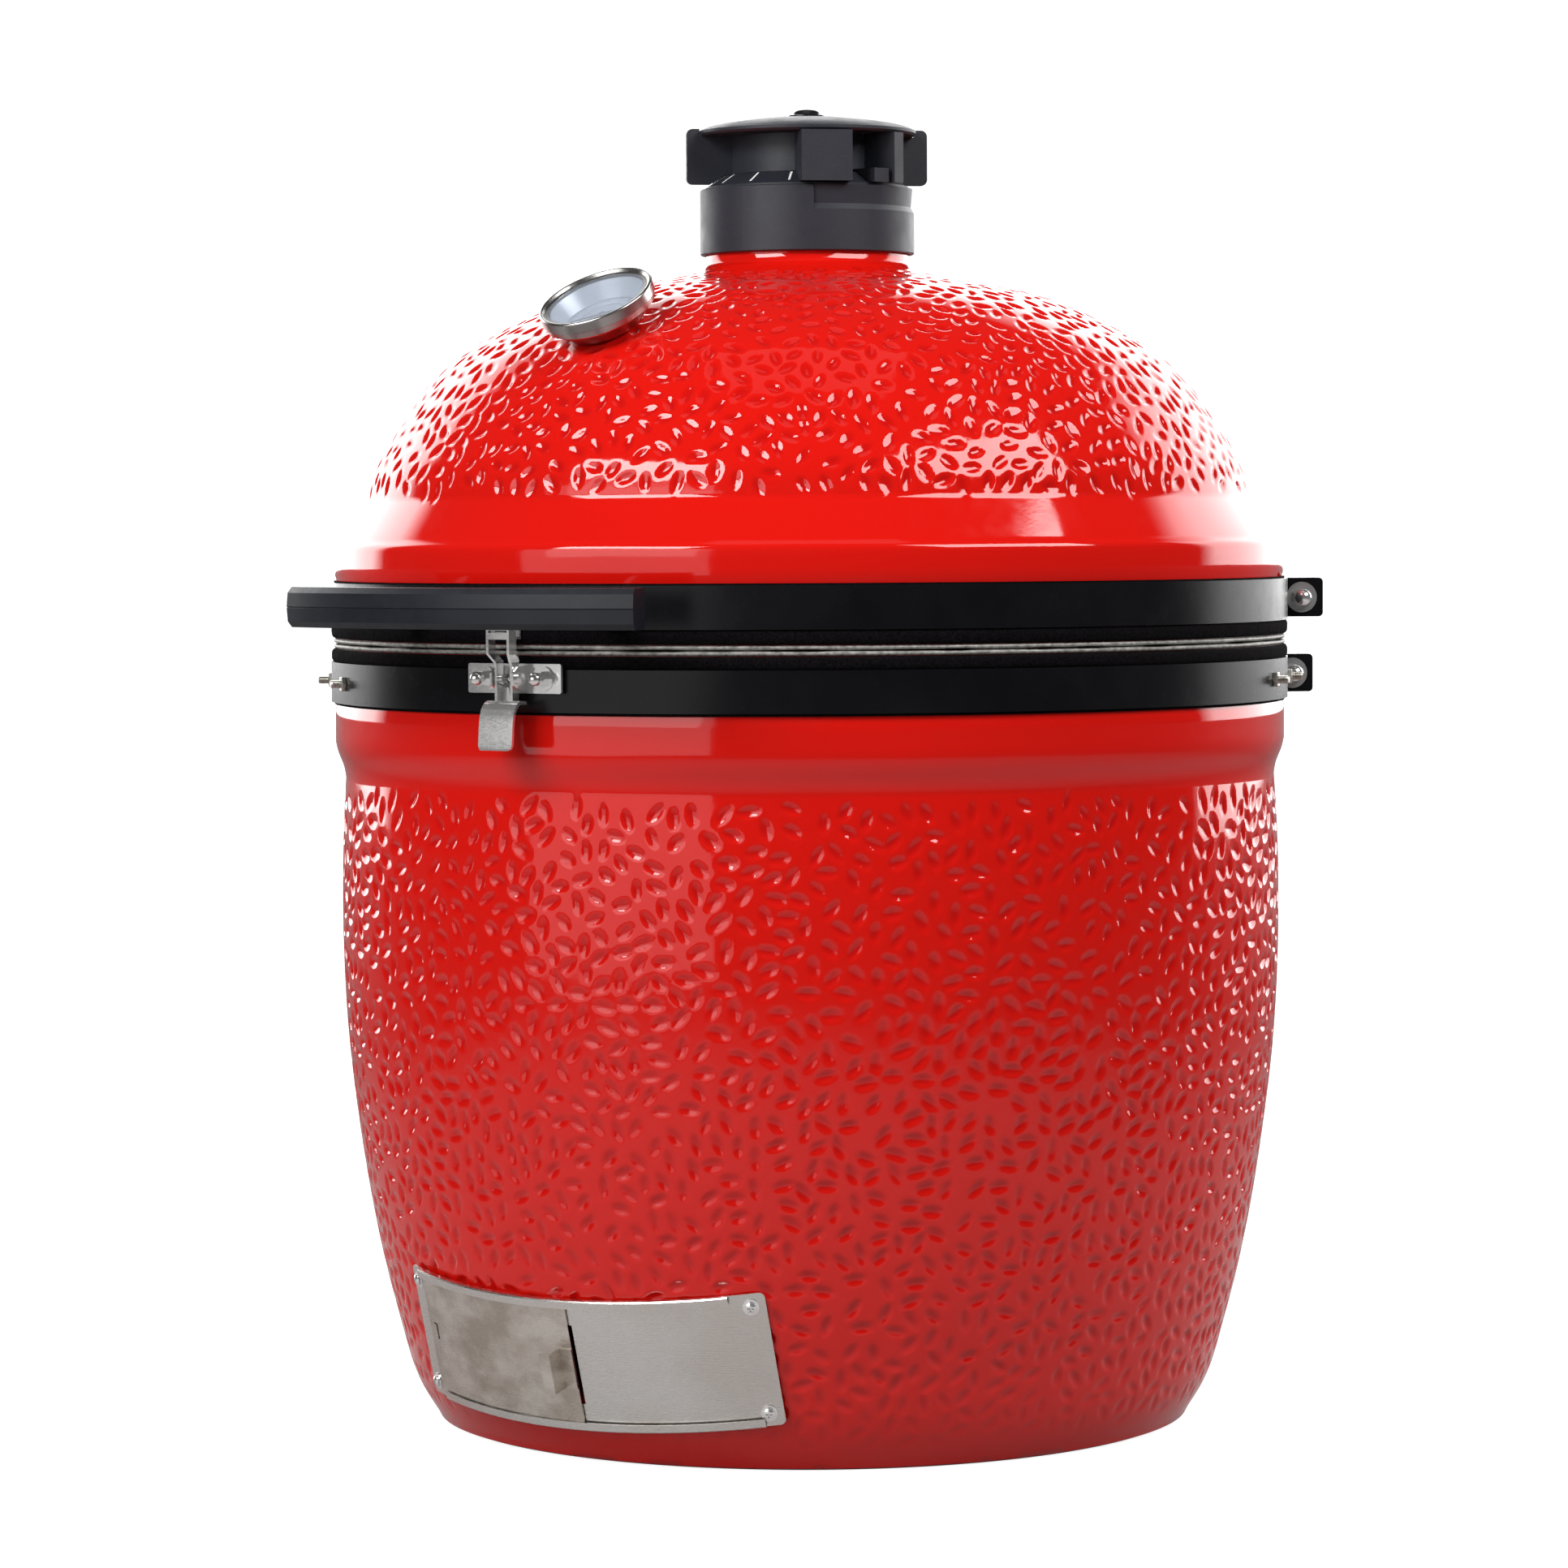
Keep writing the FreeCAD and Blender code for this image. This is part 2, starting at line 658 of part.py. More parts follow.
def thermometer_dial():
    """The dial plate, its sloping wall up to the lens and the sleeve it stands on."""
    z = DIAL_PLATE_Z
    return spun([[
        (1.6, 5.3), (3.6, 5.3), (3.6, z), (28.2, z), (35.2, LENS_Z - 0.3), (34.2, LENS_Z - 0.2),
        (27.6, z + 1.0), (1.6, z + 1.0),
    ]])


def thermometer_stem():
    """The probe through the dome, its flange in the cup and the needle's axle."""
    stem = Part.makeCylinder(STEM_R, 78, V(0, 0, -76))
    tip = Part.makeSphere(STEM_R, V(0, 0, -76))
    thread = Part.makeCylinder(STEM_R, 5, V(0, 0, 0))
    flange = Part.makeCylinder(9, 1.6, V(0, 0, 3.5))
    axle = Part.makeCylinder(AXLE_R, NEEDLE_Z - 3.5, V(0, 0, 4.5))
    return in_thermometer_frame(fused([stem, tip, thread, flange, axle]))


def thermometer_nut():
    """A nut and a spring washer on the probe, under the dome's wall."""
    bore = Part.makeCylinder(STEM_R, 20, V(0, 0, -45))
    nut = hexagon(17.0, 6.0, V(0, 0, -37), UP)
    washer = Part.makeCylinder(12.0, 1.2, V(0, 0, -30.9))
    return in_thermometer_frame(Part.makeCompound([nut.cut(bore), washer.cut(bore)]))


def thermometer_needle():
    """A pointer on a hub, turned back to the cold end of the dial."""
    hub = Part.makeCylinder(2.6, 1.4, V(0, 0, NEEDLE_Z - 0.7))
    arm = plate([(-1.1, 0), (-0.35, 23), (0.35, 23), (1.1, 0)], 0.7, "z", NEEDLE_Z)
    tail = plate([(-0.9, 0), (-1.4, -8), (1.4, -8), (0.9, 0)], 0.7, "z", NEEDLE_Z)
    needle = fused([hub, arm, tail]).cut(Part.makeCylinder(AXLE_R + PIN_CLEARANCE, 30, V(0, 0, 0)))
    needle.rotate(V(0, 0, 0), UP, NEEDLE_COLD_ANGLE)
    return in_thermometer_frame(needle)


# ================================================================================================
# Draft door
# ================================================================================================

def sheet_round(r_in, half_height, angles, thickness=SHEET, corner=0.0):
    """A sheet wrapped on the draft cylinder."""
    piece = band(r_in, r_in + thickness, -half_height, half_height, *angles)
    if corner:
        ends = [
            e for e in piece.Edges
            if e.Length < thickness * 1.5 and e.Length > thickness * 0.5
        ]
        piece = piece.makeFillet(corner, ends)
    return piece


def draft_screw_places():
    """Angle and height of each screw on the draft cylinder."""
    return [(a, h) for a in DRAFT_SCREW_ANGLES for h in (DRAFT_SCREW_HEIGHT, -DRAFT_SCREW_HEIGHT)]


def draft_screw_holes():
    """Bores for the four screws, through the sheet and into the wall."""
    holes = [
        rod(polar(DRAFT_R - 16, a, h), polar(DRAFT_R + 4, a, h), DRAFT_SCREW_HOLE_R)
        for a, h in draft_screw_places()
    ]
    return in_draft_frame(Part.makeCompound(holes))


def draft_frame():
    """The fixed sheet with its window, and the folded rails that the door runs in."""
    back = sheet_round(DRAFT_R, DRAFT_HALF_HEIGHT, DRAFT_ANGLES, SHEET, 4.0)
    window = band(
        DRAFT_R - 5, DRAFT_R + 5, -WINDOW_HALF_HEIGHT, WINDOW_HALF_HEIGHT, *WINDOW_ANGLES
    )
    back = back.cut(window)
    rails = []
    for side in (-1, 1):
        start = DRAFT_ANGLES[0] + (4.2 if side < 0 else 2.4)
        end = DRAFT_ANGLES[1] - (4.6 if side > 0 else 2.5)
        z_out = side * DRAFT_HALF_HEIGHT
        z_lip = side * (DRAFT_HALF_HEIGHT - 6.0)
        z_web = side * (DRAFT_HALF_HEIGHT - SHEET)
        r0 = DRAFT_R + SHEET
        r1 = r0 + 2.0
        outline = [[
            (r0 - 0.2, z_web), (r1, z_web), (r1, z_lip), (r1 + SHEET, z_lip),
            (r1 + SHEET, z_out - side * 0.8), (r1 + 0.2, z_out), (r0 - 0.2, z_out),
        ]]
        rails.append(revolved(outline, start, end))
    whole = fused([back] + rails)
    return in_draft_frame(whole).cut(draft_screw_holes())


def draft_door():
    """The sliding sheet and its bent finger tab."""
    r0 = DRAFT_R + SHEET + 0.5
    leaf = sheet_round(r0, DRAFT_HALF_HEIGHT - SHEET - 0.5, DOOR_ANGLES)
    end = DOOR_ANGLES[1]
    step = degrees(10.0 / r0)
    low, high = DOOR_TAB_HEIGHTS
    tab_foot = band(r0 + SHEET - 0.05, r0 + 2 * SHEET, low, high, end - step, end)
    tab_web = band(r0 + SHEET - 0.05, r0 + 14, low, high, end - step - 0.2, end - step)
    tab_lip = band(r0 + 13, r0 + 14, low, high, end - step - 1.6, end - step)
    slit = band(r0 - 1, r0 + 3, -2, 10, DOOR_ANGLES[0] + 1.6, DOOR_ANGLES[0] + 2.0)
    hook = band(r0 - 1, r0 + 3, 8.8, 10, DOOR_ANGLES[0] + 1.1, DOOR_ANGLES[0] + 2.0)
    door = fused([leaf, tab_foot, tab_web, tab_lip]).cut(slit).cut(hook)
    return in_draft_frame(door)


def draft_screws():
    """Cross-head screws with washers at the sheet's corners."""
    pieces = []
    face = DRAFT_R + SHEET + 0.05
    for angle, height in draft_screw_places():
        base = polar(face, angle, height)
        out = polar(1, angle)
        washer = Part.makeCylinder(DRAFT_SCREW_WASHER_R, 0.9, base, out)
        head_at = base + out * 0.9
        head = Part.makeCylinder(DRAFT_SCREW_HEAD_R, 1.4, head_at, out)
        dome = Part.makeSphere(6.0, head_at - out * 2.9)
        dome = dome.common(Part.makeCylinder(DRAFT_SCREW_HEAD_R, 4.0, head_at + out * 1.3, out))
        shank = Part.makeCylinder(2.4, 14.5, base - out * 14.5, out)
        screw = fused([washer, head, dome, shank])
        for quarter in (0, 90):
            bar = box(-2.3, 2.3, -0.45, 0.45, 0, 3)
            bar.rotate(V(0, 0, 0), UP, quarter + 20)
            bar.Placement = FreeCAD.Placement(
                head_at + out * 1.5, FreeCAD.Rotation(UP, out)
            ).multiply(bar.Placement)
            screw = screw.cut(bar)
        pieces.append(in_draft_frame(screw))
    return Part.makeCompound(pieces)


# ================================================================================================
# Hinge
# ================================================================================================

def hinge_leaf(z_range, ear_x, ear_tilt):
    """A plate against the rear of a band, with two ears that reach the pin."""
    z0, z1 = z_range
    wrap = degrees(74.0 / BAND_R)
    face = BAND_R + 0.1
    leaf = band(face, face + 3.0, z0 + 1, z1 - 1, 180 - wrap, 180 + wrap)
    parts = [leaf]
    for side in (-1, 1):
        x = side * ear_x
        root_y = sqrt((face + 1) ** 2 - (abs(x) + HINGE_EAR_T / 2) ** 2)
        far_z = z0 + 2 if ear_tilt < 0 else z1 - 2
        near_z = z1 - 3 if ear_tilt < 0 else z0 + 3
        dy = HINGE_Y - root_y
        reach = HINGE_EAR_R * 0.96
        outline = [
            (root_y, far_z), (HINGE_Y + reach * 0.5, PARTING_Z + ear_tilt * reach),
            (HINGE_Y, PARTING_Z), (HINGE_Y - HINGE_EAR_R, PARTING_Z),
            (root_y + dy * 0.25, near_z), (root_y, near_z),
        ]
        parts.append(plate(outline, HINGE_EAR_T, "x", x))
        eye_start = V(x - HINGE_EAR_T / 2, HINGE_Y, PARTING_Z)
        parts.append(Part.makeCylinder(HINGE_EAR_R, HINGE_EAR_T, eye_start, V(1, 0, 0)))
    return fused(parts)


def hinge_pin_hole(radius):
    """The bore for the lid's pin, through all four ears."""
    return Part.makeCylinder(radius, 200, V(-100, HINGE_Y, PARTING_Z), V(1, 0, 0))


def hinge_lower_bracket():
    """The leaf on the lower band, whose ears hold the pin fast."""
    leaf = hinge_leaf(LOWER_BAND_Z, HINGE_EAR_X, -1)
    leaf = leaf.cut(hinge_pin_hole(HINGE_PIN_R))
    return leaf.cut(hinge_bolt_holes(LOWER_BAND_Z))


def hinge_upper_bracket():
    """The leaf on the upper band, whose ears turn on the pin."""
    leaf = hinge_leaf(UPPER_BAND_Z, HINGE_UPPER_EAR_X, 1)
    leaf = leaf.cut(hinge_pin_hole(HINGE_PIN_R + PIN_CLEARANCE))
    return leaf.cut(hinge_bolt_holes(UPPER_BAND_Z))


def hinge_pin():
    """The lid's pin with a head outside each lower ear."""
    reach = HINGE_EAR_X + HINGE_EAR_T / 2
    out = V(1, 0, 0)
    head_t = 3.0
    shank_start = V(-reach - head_t, HINGE_Y, PARTING_Z)
    shank = Part.makeCylinder(HINGE_PIN_R, 2 * (reach + head_t), shank_start, out)
    heads = [
        Part.makeCylinder(8.0, head_t, V(x, HINGE_Y, PARTING_Z), out)
        for x in (-reach - head_t - 0.4, reach + 0.4)
    ]
    return fused([shank] + heads)


def hinge_springs():
    """Two heavy coils round the pin that carry part of the lid's weight, each with a leg down the leaf."""
    wire_r = 2.0
    coil_r = HINGE_PIN_R + 0.6 + wire_r
    pitch = 2 * wire_r + 0.5
    turns = 7
    pieces = []
    for side in (-1, 1):
        helix = Part.makeHelix(pitch, pitch * turns, coil_r)
        profile = Part.Wire(Part.makeCircle(wire_r, V(coil_r, 0, 0), V(0, 1, 0.09)))
        coil = Part.Wire(helix).makePipeShell([profile], True, True)
        coil.rotate(V(0, 0, 0), V(0, 1, 0), 90)
        coil.translate(V(side * 21 - pitch * turns / 2, HINGE_Y, PARTING_Z))
        inner_x = side * 21 - pitch * turns / 2
        start = V(inner_x, HINGE_Y + 1.0, PARTING_Z - coil_r)
        leg = rod(start, V(inner_x, BAND_R + 7.0, PARTING_Z - 30), wire_r)
        pieces.append(fused([coil, leg]))
    return Part.makeCompound(pieces)


def hinge_bolt_angles():
    """The two angles where studs hold a hinge leaf."""
    return [180 + s * degrees(HINGE_BOLT_X / BAND_R) for s in (-1, 1)]


def hinge_bolt_holes(z_range):
    """Bores for a hinge leaf's two studs."""
    z = sum(z_range) / 2
    return Part.makeCompound([
        rod(polar(BAND_R - 1, a, z), polar(BAND_R + 8, a, z), STUD_R + 0.2) for a in hinge_bolt_angles()
    ])


def hinge_bolts(z_range):
    """Domed nuts and washers on the two studs through a hinge leaf."""
    z = sum(z_range) / 2
    pieces = []
    for angle in hinge_bolt_angles():
        base = polar(BAND_R + 3.2, angle, z)
        pieces.append(acorn_nut(base, polar(1, angle), tail=3.0))
    return Part.makeCompound(pieces)


# ================================================================================================
# Fire parts
# ================================================================================================

def firebox():
    """A ceramic pot with a ledge for the charcoal grate, an air mouth and rows of air holes."""
    outline = [
        [(212, FLOOR_Z + 0.5), (234, FLOOR_Z + 0.5)],
        ((234, FLOOR_Z + 0.5), (258, 100), (278, 200), (289, 280), (291, FIREBOX_TOP_Z)),
        [(291, FIREBOX_TOP_Z), (269, FIREBOX_TOP_Z)],
        (
            (269, FIREBOX_TOP_Z), (266, 280), (254, 200), (236, 130),
        ),
        [(236, 130), (234, GRATE_SEAT_Z), (190, GRATE_SEAT_Z), (190, GRATE_SEAT_Z - 16), (226, 92)],
    ]
    pot = revolved(outline)
    mouth = band(170, 300, FLOOR_Z - 1, 98, -22, 3)
    pot = pot.cut(mouth)
    holes = []
    for k in range(10):
        angle = 18 + k * 36
        holes.append(rod(polar(200, angle, 150), polar(310, angle, 150), 8.0))
    return pot.cut(Part.makeCompound(holes))


def fire_ring():
    """A ceramic ring on the firebox, with a row of air holes."""
    ring = band(RING_R[0], RING_R[1], FIREBOX_TOP_Z + GAP, RING_TOP_Z)
    holes = []
    for k in range(8):
        angle = 22.5 + k * 45
        holes.append(rod(polar(250, angle, 375), polar(310, angle, 375), 7.0))
    return ring.cut(Part.makeCompound(holes))


def charcoal_grate():
    """A cast disc on the firebox ledge with round air holes in rings."""
    disc = Part.makeCylinder(228, 9, V(0, 0, GRATE_SEAT_Z + GAP))
    holes = [Part.makeCylinder(10, 20, V(0, 0, GRATE_SEAT_Z - 5))]
    for ring_r, count in ((45, 8), (90, 14), (135, 20)):
        for k in range(count):
            at = polar(ring_r, k * 360 / count, GRATE_SEAT_Z - 5)
            holes.append(Part.makeCylinder(8.5, 20, at))
    for k in range(8):
        at = polar(175, 22.5 + k * 45, GRATE_SEAT_Z - 5)
        holes.append(Part.makeCylinder(8.5, 20, at))
    disc = disc.cut(Part.makeCompound(holes))
    lip = band(216, 228, GRATE_SEAT_Z + 9, GRATE_SEAT_Z + 14)
    return fused([disc, lip])


def grate_rack():
    """A wire rack on the fire ring: two rings, uprights, and bars that carry plates and grates."""
    wire = 4.0
    low_z = RING_TOP_Z + wire + GAP
    high_z = COOK_Z - wire - 0.4
    low_r = 282.0
    high_r = 288.0
    pieces = [
        Part.makeTorus(low_r, wire, V(0, 0, low_z)),
        Part.makeTorus(high_r, wire, V(0, 0, high_z)),
    ]
    for k in range(4):
        angle = 45 + k * 90
        foot = polar(low_r, angle, low_z - 2)
        head = polar(high_r, angle, high_z + 2)
        pieces.append(rod(foot, head, wire - 0.3))
    for x in (-60, 60):
        reach = sqrt(low_r ** 2 - x ** 2)
        pieces.append(rod(V(x, -reach, low_z), V(x, reach, low_z), wire))
    reach = high_r
    pieces.append(rod(V(0, -reach, high_z), V(0, reach, high_z), wire))
    return fused(pieces)


def half_moon(radius, z0, thickness, side, gap):
    """Half a disc, clear of the middle plane by the gap."""
    disc = Part.makeCylinder(radius, thickness, V(0, 0, z0))
    keep = box(gap, radius + 1, -radius - 1, radius + 1, z0 - 1, z0 + thickness + 1)
    half = disc.common(keep)
    if side < 0:
        half.rotate(V(0, 0, 0), UP, 180)
    return half


def deflector(side):
    """A half-moon heat plate with a finger hole."""
    z0 = RING_TOP_Z + 8.0 + 2 * GAP
    half = half_moon(DEFLECTOR_R, z0, 15, side, 1.5)
    finger = Part.makeCylinder(11, 30, V(side * 236, 0, z0 - 5))
    return half.cut(finger)


def cooking_grate(side):
    """A half-moon grate: a round wire frame, close bars above it and a lift gap at its middle."""
    frame_r = 3.5
    bar_r = 2.5
    z = COOK_Z + frame_r
    bow = Part.makeTorus(COOK_R - frame_r, frame_r, V(0, 0, z))
    bow = bow.common(box(6, COOK_R + 5, -COOK_R - 5, COOK_R + 5, z - 9, z + 9))
    chord = sqrt((COOK_R - frame_r) ** 2 - 6.0 ** 2)
    pieces = [bow, rod(V(6, -chord, z), V(6, chord, z), frame_r)]
    pieces.append(rod(V(150, -253, z), V(150, 253, z), frame_r - 0.5))
    count = 34
    pitch = 2 * (COOK_R - 14) / (count - 1)
    for k in range(count):
        y = -COOK_R + 14 + k * pitch
        reach = sqrt((COOK_R - frame_r) ** 2 - y ** 2)
        pieces.append(rod(V(6, y, z + 2.0), V(reach, y, z + 2.0), bar_r))
    grate = fused(pieces)
    if side < 0:
        grate.rotate(V(0, 0, 0), UP, 180)
    return grate


# ================================================================================================
# Top vent
# ================================================================================================

def vent_collar():
    """The fixed ring on the neck, with a thumb recess, set screw holes and the flap's hinge ears."""
    z0, z1 = COLLAR_Z
    shelf = NECK_TOP_Z + 0.2
    ring = revolved([[
        (NECK_R + 0.5, z0), (COLLAR_R - 0.8, z0), (COLLAR_R, z0 + 0.8), (COLLAR_R, z1 - 0.6),
        (COLLAR_R - 0.6, z1), (COLLAR_BORE_R, z1), (COLLAR_BORE_R, shelf + 4),
        (THROAT_R + 2, shelf + 4), (THROAT_R + 2, shelf), (NECK_R + 0.5, shelf),
    ]])
    thumb = [[
        (COLLAR_R + 2, z1 + 1), (COLLAR_R - 1, z1 + 1), (COLLAR_R - 2.4, z1 - 13.5),
        (COLLAR_R, z1 - 17.5), (COLLAR_R + 2, z1 - 17.5),
    ]]
    ring = ring.cut(revolved(thumb, 40, 150))
    y, z = VENT_HINGE
    knuckle_room = KNUCKLE_HALF + 0.8
    ring = ring.cut(box(-knuckle_room, knuckle_room, 70, 82, z - 7, z1 + 1))
    ears = []
    for side in (-1, 1):
        root_y = COLLAR_BORE_R + 0.8
        arm = [(root_y, z1 - 16), (y + 2.4, z - 3.2), (y, z), (y, z + VENT_EYE_R), (root_y, z1 - 1)]
        ears.append(plate(arm, VENT_EAR_T, "x", side * VENT_EAR_X))
        eye_at = V(side * VENT_EAR_X - VENT_EAR_T / 2, y, z)
        ears.append(Part.makeCylinder(VENT_EYE_R, VENT_EAR_T, eye_at, V(1, 0, 0)))
    whole = fused([ring] + ears).cut(vent_pin_hole(VENT_PIN_R))
    return whole.cut(Part.makeCompound([
        set_screw_rod(angle, COLLAR_BORE_R - 3, COLLAR_R + 5) for angle in SET_SCREW_ANGLES
    ]))


def set_screw_rod(angle, start, end):
    """A set screw's outline, between two radii."""
    return rod(polar(start, angle, SET_SCREW_Z), polar(end, angle, SET_SCREW_Z), SET_SCREW_R)


def vent_set_screws():
    """Socket set screws that hold the collar on the ceramic neck."""
    pieces = []
    for angle in SET_SCREW_ANGLES:
        end = COLLAR_R + 0.6
        out = polar(1, angle)
        screw = set_screw_rod(angle, NECK_R + 0.1, end)
        socket = hexagon(2.5, 5, polar(end - 2, angle, SET_SCREW_Z), out)
        pieces.append(screw.cut(socket))
    return Part.makeCompound(pieces)


def vent_pin_hole(radius):
    """The bore for the flap's pin, through both ears and the knuckle."""
    return Part.makeCylinder(radius, 60, V(-30, *VENT_HINGE), V(1, 0, 0))


def vent_hinge_pin():
    """The flap's pin, a little longer than the ears are wide."""
    reach = VENT_EAR_X + VENT_EAR_T / 2 + 2
    return Part.makeCylinder(VENT_PIN_R, 2 * reach, V(-reach, *VENT_HINGE), V(1, 0, 0))


def vent_drum():
    """The flap: a skirt inside the collar, a cone above it, an air-slotted top and a hinge knuckle."""
    drum = revolved([[
        (DRUM_R - 3.5, 871), (DRUM_R, 871), (DRUM_R, 888), (60, 896.4), (57.5, 896.8),
        (SPINDLE_R, 896.8), (SPINDLE_R, 893), (57.5, 893), (DRUM_R - 3.5, 885),
    ]])
    drum = drum.cut(air_windows(880, 900))
    y, z = VENT_HINGE
    root_y = DRUM_R - 1.9
    low = z - VENT_EYE_R
    high = z + VENT_EYE_R
    knuckle = plate([(root_y, low), (y, low), (y, high), (root_y, high)], 2 * KNUCKLE_HALF, "x", 0)
    eye = Part.makeCylinder(VENT_EYE_R, 2 * KNUCKLE_HALF, V(-KNUCKLE_HALF, y, z), V(1, 0, 0))
    return fused([drum, knuckle, eye]).cut(vent_pin_hole(VENT_PIN_R + PIN_CLEARANCE))


def air_windows(z0, z1):
    """The slots that line up in the drum and the dial when the vent is open."""
    half = AIR_WINDOW_HALF_ANGLE
    return Part.makeCompound([
        band(AIR_WINDOW_R[0], AIR_WINDOW_R[1], z0, z1, a - half, a + half) for a in AIR_WINDOW_ANGLES
    ])


def above_drum():
    """The space over the drum's cone and the collar that the dial keeps to."""
    low = DIAL_LOW_Z
    return revolved([[
        (0, DIAL_Z[0]), (60, DIAL_Z[0]), (DRUM_R + 0.4, low), (120, low), (120, 940), (0, 940),
    ]])


def vent_dial():
    """The turning part: a slotted floor, a wall with air mouths, blocks, fins and thumb steps."""
    z0, z1 = DIAL_Z
    low = DIAL_LOW_Z
    root_r = DIAL_WALL_R - 2
    floor = band(SPINDLE_R + PIN_CLEARANCE, DIAL_WALL_R, z0, z0 + 2.6).cut(air_windows(z0 - 1, z0 + 5))
    wall = band(DIAL_WALL_R - 3, DIAL_WALL_R, z0, z1)
    mouths = [band(40, 70, z0 + 4, z1 - 3, start, start + 24) for start in DIAL_MOUTH_STARTS]
    pieces = [floor, wall.cut(Part.makeCompound(mouths))]
    for half_turn in (0, 180):
        block = box(-18.3, 18.3, -82, -root_r, low, z1)
        pieces.append(turned(block, BLOCK_ANGLE + half_turn))
        pieces.append(turned(dial_fin(root_r), FIN_ANGLE + half_turn))
        post = box(-5.5, 5.5, -81, -root_r, low, z1)
        notch = box(-3, 7, -76, -DIAL_WALL_R, low - 5, z1 - 3)
        pieces.append(turned(post.cut(notch), POST_ANGLE + half_turn))
        step = box(-7, 7, -79, -root_r, low, low + 10)
        pieces.append(turned(step, STEP_ANGLE + half_turn))
    dial = fused(pieces).common(above_drum())
    edge_z = CAP_EDGE_Z[0] - GAP
    under_cap = revolved([[(0, edge_z), (CAP_R + GAP, edge_z), (CAP_R + GAP, 960), (0, 960)]])
    return dial.cut(under_cap)


def dial_fin(root_r):
    """An upright blade whose outer corners are rounded."""
    half = 2.0
    fin = box(-half, half, -FIN_R, -root_r, DIAL_LOW_Z + 1.4, 930)
    corners = []
    for edge in fin.Edges:
        a, b = (vertex.Point for vertex in edge.Vertexes)
        if abs(a.x - b.x) > half and a.y < -root_r - half:
            corners.append(edge)
    return fin.makeFillet(4.5, corners)


def vent_cap():
    """A shallow domed disc over the dial."""
    z0, z1 = CAP_EDGE_Z
    top = CAP_TOP_Z
    bore_r = SPINDLE_R + PIN_CLEARANCE
    return revolved([
        [(bore_r, z0), (CAP_R - 1.5, z0), (CAP_R, z0 + 1.5), (CAP_R, z1 - 0.8)],
        ((CAP_R, z1 - 0.8), (CAP_R - 3, z1 + 0.6), (50, 935.4), (20, top - 0.4), (bore_r, top)),
    ])


def vent_spindle():
    """The axle through the drum's top, with a clamping collar under it."""
    return fused([
        Part.makeCylinder(SPINDLE_R, 45.5, V(0, 0, 895)),
        Part.makeCylinder(9, 3, V(0, 0, 889.9)),
        Part.makeCylinder(SPINDLE_R, 3, V(0, 0, 892.5)),
    ])


def vent_button():
    """A domed button with a thin flange on the spindle's end."""
    z0 = CAP_TOP_Z + 0.3
    outline = [
        [(0, z0), (13.9, z0), (13.9, z0 + 1.0), (11.2, z0 + 1.8)],
        ((11.2, z0 + 1.8), (9.0, TOTAL_Z - 1.5), (5.0, TOTAL_Z - 0.35), (0, TOTAL_Z)),
    ]
    button = revolved(outline)
    return button.cut(Part.makeCylinder(SPINDLE_R, 2.2, V(0, 0, z0 - 1)))


# ================================================================================================
# All the pieces, one file each
# ================================================================================================

